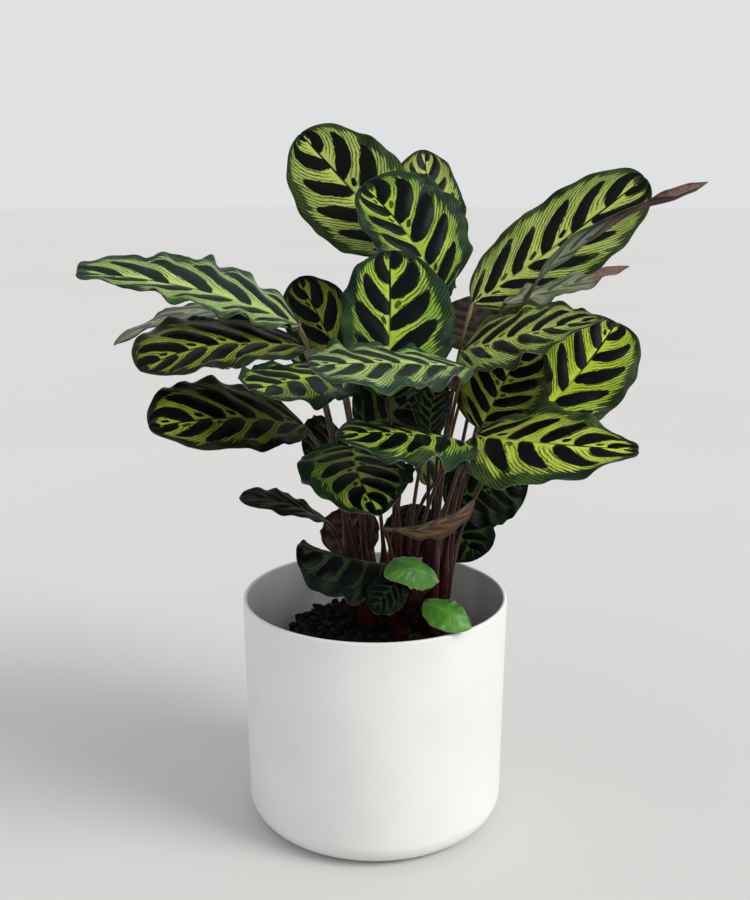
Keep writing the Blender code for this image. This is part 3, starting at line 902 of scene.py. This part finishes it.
def small_drops(group, k, s, side, seed, tremble):
    """Drops near the midrib, halfway between two large ones. Chance leaves out more than half of them."""
    between = (k + 0.5).floor()
    d = (k - between).abs() / SMALL_DROP_WIDTH
    outwards = (s - SMALL_DROP_MIDDLE) / SMALL_DROP_LENGTH
    chance = chance_of(group, vector_of(group, between + SMALL_DROP_SEED, side, seed))
    drop = (1.0 - d ** 2.0 - outwards ** 2.0 + tremble * 0.8).step(-0.1, 0.25)
    return drop * chance.math("GREATER_THAN", SMALL_DROPS_MISSING)


print("share of the small drops that chance leaves out:", SMALL_DROPS_MISSING)

# %% [markdown]
# The bands are made of strokes that run along the veins. Each stroke between two fine lines reaches
# out by its own length, which feathers the border towards the margin. The distance that the strokes
# are measured against is a rounded box: it grows towards the side edges, the tip and the base.

# %% The bands and the group that holds all marks
LINES_PER_VEIN = 7.0
LIME_REACH = 0.78
TIP_MARGIN = 0.22
BASE_MARGIN = 0.05
BOX_POWER = 6.0


def lime_bands(group, u, k, s, side, seed, tremble, drift, lime_reach):
    """The bands, the fine lines in them, the strokes and the distance towards the margin."""
    strokes = k * LINES_PER_VEIN + tremble * 0.8
    stroke = strokes.math("PINGPONG", 0.5) * 2.0
    own = chance_of(group, vector_of(group, strokes.floor(), side, seed))
    patchy = noise_of(group, vector_of(group, k * 3.0, s * 3.0, seed * 17.0), 1.0)
    line = stroke.step(0.52, 0.16) * s.step(0.04, 0.22) * patchy.step(0.25, 0.50)
    tip_end = (1.0 - (1.0 - u) / TIP_MARGIN).most(0.0)
    base_end = (1.0 - u / BASE_MARGIN).most(0.0)
    edge = (s ** BOX_POWER + tip_end ** BOX_POWER + base_end ** BOX_POWER) ** (1 / BOX_POWER)
    reach = lime_reach + stroke * 0.07 + own * 0.13 + drift * 0.22 - 0.08
    return (reach - edge).step(-0.015, 0.04), line, stroke, edge


def build_marks():
    number = "NodeSocketFloat"
    inputs = (("Along", number, 0.5), ("Across", number, 0.0), ("Seed", number, 0.0),
              ("Drop width", number, DROP_WIDTH), ("Reach", number, LIME_REACH))
    outputs = ("Drop", "Lime", "Line", "Rib", "Relief", "Edge")
    group, given, leave = new_group("Leaf marks", inputs, outputs)
    u, v, seed = (given[name] for name in ("Along", "Across", "Seed"))
    s = v.abs()
    side = v.math("GREATER_THAN", 0.0)
    drift = noise_of(group, vector_of(group, u * 6.0, v * 3.0, seed * 40.0), 1.0) - 0.5
    tremble = noise_of(group, vector_of(group, u * 30.0, v * 12.0, seed * 90.0), 1.0, detail=3.0) - 0.5
    lean = s * VEIN_SLANT + s * s * VEIN_BEND
    veins = VEINS + seed * MORE_VEINS
    k = (u - lean + drift * 0.04) * veins + side * 0.5 + seed * VEIN_SHIFT

    drop = large_drops(group, k, s, side, seed, tremble, given["Drop width"])
    drop = drop.most(small_drops(group, k, s, side, seed, tremble))
    lime, line, stroke, edge = lime_bands(group, u, k, s, side, seed, tremble, drift, given["Reach"])
    rib = s.step(0.028, 0.014)
    relief = stroke * (1.0 - drop) * 0.3 + tremble * 0.5 + rib * 0.6
    for name, field in zip(outputs, (drop, lime, line, rib, relief, edge)):
        feed(leave.inputs[name], field)
    return group


MARKS = build_marks()
print("the marks take", len(MARKS.nodes), "nodes")

# %% [markdown]
# Placing the group in a material takes three steps: read the attribute, split it, and link it. The
# marks come back by name, together with the two numbers that say where on the leaf they are.

# %% Use the marks in a material
def split_attribute(tree, name):
    """The three numbers of an attribute that is kept on the vertices."""
    read = tree.nodes.new("ShaderNodeAttribute")
    read.attribute_name = name
    split = tree.nodes.new("ShaderNodeSeparateXYZ")
    feed(split.inputs[0], Field(tree, read.outputs["Vector"]))
    return [Field(tree, output) for output in split.outputs]


def marks_of(tree, drop_width=DROP_WIDTH, reach=LIME_REACH):
    """The marks, and the place along and across the leaf, by name."""
    place = dict(zip(("Along", "Across", "Seed"), split_attribute(tree, "leaf_place")))
    made = tree.nodes.new("ShaderNodeGroup")
    made.node_tree = MARKS
    for name, field in place.items():
        feed(made.inputs[name], field)
    made.inputs["Drop width"].default_value = drop_width
    made.inputs["Reach"].default_value = reach
    return place | {socket.name: Field(tree, socket) for socket in made.outputs}


print("sockets of the marks:", [socket.name for socket in MARKS.interface.items_tree])

# %% [markdown]
# ## The finishes of the leaf
# The upper side is waxy. Its gloss is soft and bluish where it mirrors the sky, so the roughness is
# moderate and the marks barely change it. The lime is brightest near the midrib and turns greener
# towards the edge.
#
# No two leaves have quite the same colours, and the looks mix each leaf's own colours with painted light
# and shade. Most leaves are vivid. The bright look is a lighter copy of vivid: painted light on the leaf
# that the lamp lights most. The deep, dark and shade looks are darker copies: painted shade on the
# leaves low in the pot, inside the plant and on the side away from the lamp, partly their own deeper
# green with thin olive bands. The topmost ones are a little dull. The pale and grey looks are paler
# copies: painted reflection of the sky on leaves that lie flat or edge-on. One has dried to a grey-green
# roll. Each of these is a look, a handful of colours and sizes, and the same material is built from any
# of them.

# %% The looks
NEVER_DRY = 2.0
LEAF_RELIEF = 0.3 * MM


class Look(NamedTuple):
    """The colours of a leaf's upper side, its sheen, and the sizes of its marks."""

    lime_inner: tuple
    lime_outer: tuple
    drop: tuple
    margin: tuple
    sheen: float = 0.07
    drop_width: float = DROP_WIDTH
    reach: float = LIME_REACH
    dry_from: float = NEVER_DRY


LOOKS = {
    "vivid": Look(srgb(186, 206, 52), srgb(130, 160, 44), srgb(4, 8, 7), srgb(10, 28, 22),
                  drop_width=0.34, reach=0.79),
    # Painted light: bright is a lighter copy of vivid for the most lit leaf.
    "bright_lit": Look(srgb(202, 218, 76), srgb(150, 176, 66), srgb(6, 10, 10), srgb(12, 36, 30),
                   drop_width=0.33, reach=0.74),
    "full": Look(srgb(166, 192, 60), srgb(106, 142, 50), srgb(4, 9, 9), srgb(10, 31, 27),
                 drop_width=0.40, reach=0.72),
    "dull": Look(srgb(176, 192, 92), srgb(136, 154, 74), srgb(6, 10, 6), srgb(14, 30, 14),
                 drop_width=0.33, reach=0.80),
    # Painted shade, partly the leaves' own deeper green: deep, dark and shade are darker copies for shaded
    # leaves.
    "deep_and_shaded": Look(srgb(136, 146, 42), srgb(88, 102, 30), srgb(4, 6, 5), srgb(8, 17, 12),
                 drop_width=0.38, reach=0.74),
    "dark": Look(srgb(60, 78, 32), srgb(28, 46, 22), srgb(3, 5, 4), srgb(6, 16, 11),
                 drop_width=0.40, reach=0.66),
    "shade": Look(srgb(42, 64, 34), srgb(24, 42, 24), srgb(3, 5, 4), srgb(6, 15, 10),
                  drop_width=0.42, reach=0.64),
    # Painted reflection: pale and grey are paler copies that stand in for the sky mirrored on flat or
    # edge-on leaves.
    "pale": Look(srgb(170, 192, 106), srgb(120, 150, 84), srgb(9, 24, 18), srgb(13, 40, 29),
                 sheen=0.18, drop_width=0.34, reach=0.78),
    "grey": Look(srgb(138, 150, 92), srgb(98, 110, 70), srgb(30, 34, 22), srgb(38, 46, 30),
                 sheen=0.3, drop_width=0.28, reach=0.86, dry_from=1.0),
    "dried": Look(srgb(146, 154, 124), srgb(108, 118, 92), srgb(62, 70, 54), srgb(74, 82, 62),
                  sheen=0.3, drop_width=0.2, reach=0.9, dry_from=0.70),
}
LEAVES_WITH_LOOK = {
    "bright_lit": ("right_front",),
    "full": ("top_front", "centre", "front_low", "left_inner", "front_tip"),
    "dull": ("top_back", "top_hidden", "right_top", "right_upper"),
    "deep_and_shaded": ("left_dark", "left_low", "left_upright", "right_inner"),
    "dark": ("left_shelf", "right_back_low", "right_hang", "centre_low", "centre_slim", "left_olive",
             "back_dark", "back_brown"),
    "shade": ("rim_left", "rim_small"),
    "pale": ("front_pale", "left_long"),
    "grey": ("left_grey",),
    "dried": ("right_edge", "right_rolled"),
    "brown": ("front_rolled",),
    "young": ("young_upper", "young_lower"),
}
LOOK_OF = {leaf: look for look, leaves in LEAVES_WITH_LOOK.items() for leaf in leaves}
print("looks:", len(LOOKS), "and leaves that aren't simply vivid:", len(LOOK_OF))


# %% [markdown]
# The colours are laid over each other in the order of the code: margin, bands, fine lines, drops and
# the midrib, which is dark towards the tip and pale towards the base. Last come a fine grain over
# everything and the brown of a dried tip.

# %% The upper side
def make_leaf_upper(name, look):
    material, tree, shader = new_material("leaf_upper_" + name)
    marks = marks_of(tree, look.drop_width, look.reach)
    along, across = marks["Along"], marks["Across"]
    soft, fine = mottle_of(tree, object_place(tree), 45.0)
    greener = (across.abs() * 0.7 + soft * 0.5 - 0.15).step(0.0, 1.0)
    bands = blend(tree, greener, look.lime_inner, look.lime_outer)
    margin = blend(tree, soft * marks["Edge"], look.margin, look.lime_outer)
    margin = blend(tree, 0.75, margin, look.margin)
    colour = blend(tree, marks["Lime"], margin, bands)
    colour = blend(tree, marks["Line"] * 0.9, colour, look.margin)
    colour = blend(tree, marks["Drop"], colour, look.drop)
    colour = blend(tree, marks["Rib"] * along.step(0.15, 0.75), colour, look.drop)
    colour = blend(tree, marks["Rib"] * along.step(0.5, 0.0) * 0.6, colour, look.lime_outer)
    colour = blend(tree, fine * 0.15, colour, srgb(10, 16, 10))
    dried = (along + soft * 0.12 + fine * 0.06).step(look.dry_from, look.dry_from + 0.2)
    colour = blend(tree, dried, colour, blend(tree, fine, srgb(150, 116, 104), srgb(82, 56, 48)))
    fill_shader(shader, colour, fine * 0.10 + soft * 0.08 + 0.30, look.sheen,
                bump_of(tree, marks["Relief"], LEAF_RELIEF))
    return material


print("looks to paint:", sorted(LOOKS))

# %% [markdown]
# The underside is a dull purple-brown that shows the same marks faintly, with the bands in olive. The
# edge is a thin pale line: a painted highlight where the blade's rim catches the light.

# %% The underside and the edge
def make_leaf_under(name, dark, olive):
    material, tree, shader = new_material("leaf_under_" + name)
    marks = marks_of(tree)
    soft, fine = mottle_of(tree, object_place(tree), 60.0)
    shown = marks["Lime"] * (1.0 - marks["Drop"]) * (1.0 - marks["Line"] * 0.6)
    colour = blend(tree, shown * (soft * 0.5 + 0.35), dark, olive)
    colour = blend(tree, marks["Rib"], colour, srgb(80, 48, 38))
    colour = blend(tree, fine * 0.15, colour, srgb(14, 8, 8))
    fill_shader(shader, colour, fine * 0.12 + 0.45, 0.3, bump_of(tree, marks["Relief"], LEAF_RELIEF))
    return material


# The edge's pale colour is a painted highlight, the light caught by the blade's thin rim.
def make_leaf_edge_highlight(name, green, pale):
    material, tree, shader = new_material("leaf_edge_" + name)
    soft, fine = mottle_of(tree, object_place(tree), 120.0)
    fill_shader(shader, blend(tree, soft * fine, green, pale), 0.4, 0.5)
    return material


grown_under = make_leaf_under("grown", srgb(54, 31, 32), srgb(104, 90, 46))
grown_edge_highlight = make_leaf_edge_highlight("grown", srgb(44, 66, 50), srgb(140, 158, 132))
# The rolled leaf at the front gets a lighter, browner underside: partly painted light, the light shining
# through that leaf.
lit_through_under = make_leaf_under("brown", srgb(82, 48, 38), srgb(140, 116, 62))
leaf_finishes = {name: [make_leaf_upper(name, look), grown_under, grown_edge_highlight]
                 for name, look in LOOKS.items()}
leaf_finishes["brown"] = [leaf_finishes["deep_and_shaded"][0], lit_through_under, grown_edge_highlight]
print("finishes of a grown leaf:", sorted(leaf_finishes))

# %% [markdown]
# Young leaves have no marks yet. They are a fresh plain green with a paler midrib and faint veins, and
# they shine more, because their skin is new and taut.

# %% The young leaf
def make_young_upper():
    material, tree, shader = new_material("young_leaf_upper")
    marks = marks_of(tree)
    soft, fine = mottle_of(tree, object_place(tree), 70.0)
    colour = blend(tree, soft, srgb(46, 102, 26), srgb(84, 148, 44))
    colour = blend(tree, marks["Line"] * 0.35, colour, srgb(34, 76, 22))
    colour = blend(tree, marks["Rib"] * (1.0 - marks["Along"]), colour, srgb(130, 168, 76))
    colour = blend(tree, marks["Edge"].step(0.93, 1.0) * 0.6, colour, srgb(140, 150, 60))
    fill_shader(shader, colour, fine * 0.10 + 0.26, 0.4, bump_of(tree, marks["Relief"], LEAF_RELIEF))
    return material


leaf_finishes["young"] = [
    make_young_upper(),
    make_leaf_under("young", srgb(52, 78, 34), srgb(96, 124, 58)),
    make_leaf_edge_highlight("young", srgb(100, 128, 52), srgb(180, 186, 110)),
]
print("finishes of a young leaf:", [material.name for material in leaf_finishes["young"]])

# %% [markdown]
# One leaf on the right has dried out and rolled up. It is loosely open near its base, tight along the
# middle, and flares again at its brown tip. Across the roll, v becomes an angle round the midrib
# instead of a distance from it. The radius grows a little with v, so that the sheet's edges pass each
# other like the turns of a scroll.

# %% The rolled leaf
ROLL_PLACES = (0.0, 0.08, 0.30, 0.45, 0.60, 0.76, 0.86, 0.94, 1.0)
ROLL_RADII = (0.0, 1.6, 5.6, 4.4, 2.4, 1.4, 5.2, 4.4, 0.0)
ROLL_ANGLES = (1.2, 1.4, 1.3, 1.9, 2.6, 2.9, 1.4, 1.5, 1.5)
ROLL_WIDENING = 0.16
ROLL_DENTS = 4
ROLL_DENT_DEPTH = 0.12
ROLL_TWIST = 0.8
ROLL_SAG = 1.2 * MM
ROLL_SAG_TURNS = 1.3


def rolled_surface(leaf, _phase, u, v):
    """Points of a blade rolled round its midrib, for arrays u and v."""
    places, _, up, across = leaf_frame(leaf, u)
    radius = np.interp(u, ROLL_PLACES, ROLL_RADII) * MM * (1 + ROLL_WIDENING * v)
    radius = radius * (1 + ROLL_DENT_DEPTH * np.sin(2 * math.pi * ROLL_DENTS * u + 2 * v))
    angle = v * np.interp(u, ROLL_PLACES, ROLL_ANGLES) + ROLL_TWIST * u
    sag = ROLL_SAG * np.sin(2 * math.pi * ROLL_SAG_TURNS * u) * (1 - u)
    side = radius * np.sin(angle)
    rise = radius * (1 - np.cos(angle)) + sag
    return places + across * side[:, None] + up * rise[:, None]


print("widest radius of the roll, mm:", max(ROLL_RADII))


# %% Make every blade
PHASE_STEP = 1.7

for index, leaf in enumerate(LEAVES):
    look = LOOK_OF.get(leaf.name, "vivid")
    surface = rolled_surface if leaf.name == "right_rolled" else blade_surface
    make_blade(leaf, PHASE_STEP * index, leaf_finishes[look], surface)
print("blades made:", len(LEAVES))

# %% [markdown]
# ## The stalks
# A leaf stalk rises from a sheath that wraps its neighbours at the soil. The sheath is flat and
# swollen and dark red, the stalk above it is slender and round, and just under the blade it thickens
# again into the smooth joint with which the plant turns its leaves to the light. The joint runs on
# into the ridge under the midrib. The path is a gentle curve from the shoot to the blade's base.

# %% The path and thickness of a stalk
STALK_SPREAD = 1.7 * MM
STALK_LEAN = (0.35, 0.35, 0.75)
STALK_RINGS = 34
STALK_SIDES = 10
STALK_RADII = (1.6 * MM, 1.05 * MM)
FOOT_DEPTH = 2 * MM
SHEATH_SWELL = 2.4 * MM
SHEATH_LENGTH = 38 * MM
SHEATH_DRIFT = 26 * MM
SHEATH_FADE = 4 * MM
JOINT_LENGTH = 13 * MM
JOINT_SWELL = 0.4 * MM
JOINT_DROP = 0.9 * MM
RUN_DROP = 1.0 * MM
RUN_PLACES = (2.1 * MM, 4.2 * MM, 6 * MM)
RUN_RADII = (1.0 * MM, 0.8 * MM, 0.45 * MM)


def stalk_path(leaf, spread):
    """From below the soil's skin to a little way along the underside of the midrib."""
    x, y = (c * CM for c in SHOOTS[leaf.shoot])
    foot = np.array([x, y, soil_height(math.hypot(x, y)) + GAP]) + np.array([*spread, -FOOT_DEPTH])
    (base,), (along,), (up,), _ = leaf_frame(leaf, 0.0)
    bend = foot + (base - foot) * np.array(STALK_LEAN)
    t = np.linspace(0, 1, STALK_RINGS)[:, None]
    rise = (1 - t) ** 2 * foot + 2 * t * (1 - t) * bend + t * t * (base - up * JOINT_DROP)
    run = [base + along * place - up * RUN_DROP for place in RUN_PLACES]
    return np.vstack([rise, run])


def stalk_radii(path, seed):
    """Sheath at the foot, slender above it, thickened into the joint, fading under the blade."""
    steps = np.linalg.norm(np.diff(path, axis=0), axis=1)
    length = np.concatenate([[0.0], np.cumsum(steps)])
    to_blade = length[STALK_RINGS - 1] - length
    slender = np.interp(length / length[-1], (0, 1), STALK_RADII)
    sheath_end = SHEATH_LENGTH + SHEATH_DRIFT * seed
    sheath = SHEATH_SWELL / (1 + np.exp((length - sheath_end) / SHEATH_FADE))
    joint = JOINT_SWELL * np.exp(-((to_blade / JOINT_LENGTH - 0.55) / 0.45) ** 2)
    radii = slender + sheath + joint
    radii[STALK_RINGS:] = RUN_RADII
    return radii, length


print("rings of a stalk:", STALK_RINGS + len(RUN_PLACES))

# %% [markdown]
# Rings along a bent path must not twist, or the streaks on the stalk would spiral. Each ring is
# therefore laid out with the direction that the last one had, turned only as far as the path turns.
# A sheath is wider one way than the other, because it wraps round its neighbours.

# %% Draw the stalks of one shoot
FIRST_SIDE = (0.3, 0.9, 0.1)
SHEATH_FLATNESS = 0.45
SHEATH_FLAT_LENGTH = 40 * MM
SEED_STEP = 0.37
SEED_LEAF_STEP = 0.11


def rings_along(path, radii, flatness):
    """Rings of points round a path, without twist. flatness stretches a ring one way."""
    directions = unit(np.gradient(path, axis=0))
    side = unit(np.cross(directions[0], FIRST_SIDE))
    turns = np.linspace(0, 2 * math.pi, STALK_SIDES, endpoint=False)
    rings = []
    for place, direction, radius, flat in zip(path, directions, radii, flatness):
        side = unit(side - direction * side.dot(direction))
        other = np.cross(direction, side)
        rings.append([Vector(place + radius * (side * math.cos(a) * (1 + flat) + other * math.sin(a)))
                      for a in turns])
    return rings


def make_shoot(shoot, material):
    own = [leaf for leaf in LEAVES if leaf.shoot == shoot]
    bm = bmesh.new()
    layer = bm.verts.layers.float_vector.new("stalk_place")
    for number, leaf in enumerate(own):
        turn = 2 * math.pi * number / len(own)
        seed = (number * SEED_STEP + LEAVES.index(leaf) * SEED_LEAF_STEP + SEED_STEP) % 1.0
        spread = (STALK_SPREAD * math.cos(turn), STALK_SPREAD * math.sin(turn))
        path = stalk_path(leaf, spread)
        radii, length = stalk_radii(path, seed)
        flatness = SHEATH_FLATNESS * np.exp(-(length / SHEATH_FLAT_LENGTH) ** 2)
        values = [(t, metres, seed) for t, metres in zip(length / length[-1], length)]
        draw_tube(bm, rings_along(path, radii, flatness), layer, values)
    bmesh.ops.recalc_face_normals(bm, faces=bm.faces)
    return finish_piece("stalks_" + shoot, bm, [material], "stems_" + shoot)


print("stalks in the largest shoot:", max(sum(leaf.shoot == shoot for leaf in LEAVES) for shoot in SHOOTS))

# %% [markdown]
# The stalks are the colour of black cherries at the soil, with a pinkish shine on the sheaths. Higher
# up they fade to a dull olive brown, and a few have a pale joint under the blade. Fine pinkish streaks
# run over them, partly the stalks' own streaking and partly a painted highlight for their shine. The
# attribute holds how far along its stalk a point is, as a share and in metres, so the colours change
# with the stalk and not with the height.

# %% The finish of the stalks
def make_stalk_red():
    material, tree, shader = new_material("stalk_dark_red")
    along, _, seed = split_attribute(tree, "stalk_place")
    place = object_place(tree)
    soft, fine = mottle_of(tree, place, 120.0)
    streaks_and_sheen = noise_of(tree, place, 420.0)
    red = blend(tree, soft, srgb(26, 6, 7), srgb(60, 18, 16))
    olive = blend(tree, soft, srgb(50, 34, 22), srgb(84, 68, 42))
    olive = blend(tree, seed.step(0.7, 0.9) * along.step(0.8, 1.0), olive, srgb(170, 156, 112))
    fade = (along + seed * 0.25 - 0.12).step(0.35, 0.95)
    colour = blend(tree, fade, red, olive)
    # Pinkish streaks: partly real streaking, partly a painted highlight standing in for the shine.
    colour = blend(tree, streaks_and_sheen.step(0.58, 0.82) * 0.35, colour, srgb(138, 80, 60))
    colour = blend(tree, fine * 0.25, colour, srgb(26, 8, 8))
    fill_shader(shader, colour, fine * 0.15 + 0.32, 0.25, bump_of(tree, streaks_and_sheen, 0.3 * MM))
    return material


stalk_red = make_stalk_red()
for shoot in SHOOTS:
    make_shoot(shoot, stalk_red)
print("shoots made:", len(SHOOTS))

# %% [markdown]
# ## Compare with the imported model
# Each finished blade has to lie where its packed blade lies. The largest distance between the corners
# of the two boxes shows whether any has strayed.

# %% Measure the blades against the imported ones
def box_of(piece):
    corners = np.array([piece.matrix_world @ v.co for v in piece.data.vertices])
    return corners.min(axis=0), corners.max(axis=0)


strays = []
for leaf in LEAVES:
    made_low, made_high = box_of(bpy.data.objects["leaf_" + leaf.name])
    low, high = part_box("blade_" + leaf.name)
    strays.append((max(np.abs(made_low - low).max(), np.abs(made_high - high).max()) * 1000, leaf.name))
print("largest strays, mm:", [(round(float(d), 1), name) for d, name in sorted(strays)[-4:]])

# %% [markdown]
# ## Floor, light and camera
# The plant stands on a plain pale floor that runs off into a pale background. The one lamp is broad
# and soft and shines from the right, from above and a little from the front, as a large window does.
# It is a sun lamp with a wide disc, so the floor is lit evenly out to the horizon. The pale background
# fills the shadows. The camera stands level with the plant's upper half and looks a little down.

# %% Floor and background
BACKGROUND = srgb(224, 225, 227)
FLOOR_PALE = srgb(206, 205, 203)
FLOOR_RADIUS = 14.0
FLOOR_SIDES = 64


def make_floor():
    material, tree, shader = new_material("floor_pale")
    soft, fine = mottle_of(tree, object_place(tree), 1.2)
    darker = tuple(c * 0.97 for c in FLOOR_PALE)
    fill_shader(shader, blend(tree, soft, darker, FLOOR_PALE), fine * 0.08 + 0.7, 0.2)
    bm = bmesh.new()
    bmesh.ops.create_circle(bm, cap_ends=True, segments=FLOOR_SIDES, radius=FLOOR_RADIUS)
    mesh = bpy.data.meshes.new("floor")
    bm.to_mesh(mesh)
    bm.free()
    mesh.materials.append(material)
    floor = bpy.data.objects.new("floor", mesh)
    bpy.context.scene.collection.objects.link(floor)


make_floor()
world = bpy.data.worlds.new("studio")
bpy.context.scene.world = world
world.use_nodes = True
background = world.node_tree.nodes["Background"]
background.inputs["Color"].default_value = (*BACKGROUND, 1.0)
background.inputs["Strength"].default_value = 1.0
print("floor and background are in place")


# %% Light
WINDOW_DIRECTION = (-0.75, 0.35, -0.65)
WINDOW_STRENGTH = 2.2
WINDOW_WIDTH = math.radians(28.0)
WINDOW_COLOUR = (1.0, 0.985, 0.96)


def add_window():
    """A sun lamp that shines along a direction, from a disc as wide as the angle."""
    data = bpy.data.lights.new("window", "SUN")
    data.energy = WINDOW_STRENGTH
    data.angle = WINDOW_WIDTH
    data.color = WINDOW_COLOUR
    light = bpy.data.objects.new("window", data)
    light.rotation_mode = "QUATERNION"
    light.rotation_quaternion = Vector(WINDOW_DIRECTION).to_track_quat("-Z", "Y")
    bpy.context.scene.collection.objects.link(light)


add_window()


# %% Camera
LENS = 47.2
SENSOR_WIDTH = 36.0
CAMERA_PLACE = (0.0, -0.765, 0.44)
CAMERA_DIP = 13.35


def add_camera():
    data = bpy.data.cameras.new("camera")
    data.lens = LENS
    data.sensor_width = SENSOR_WIDTH
    camera = bpy.data.objects.new("camera", data)
    camera.location = CAMERA_PLACE
    camera.rotation_euler = (math.radians(90 - CAMERA_DIP), 0.0, 0.0)
    bpy.context.scene.collection.objects.link(camera)
    bpy.context.scene.camera = camera


add_camera()
bpy.context.scene.view_settings.view_transform = "Standard"
print(f"camera {CAMERA_PLACE[2]} m above the floor, looking {CAMERA_DIP} degrees down")
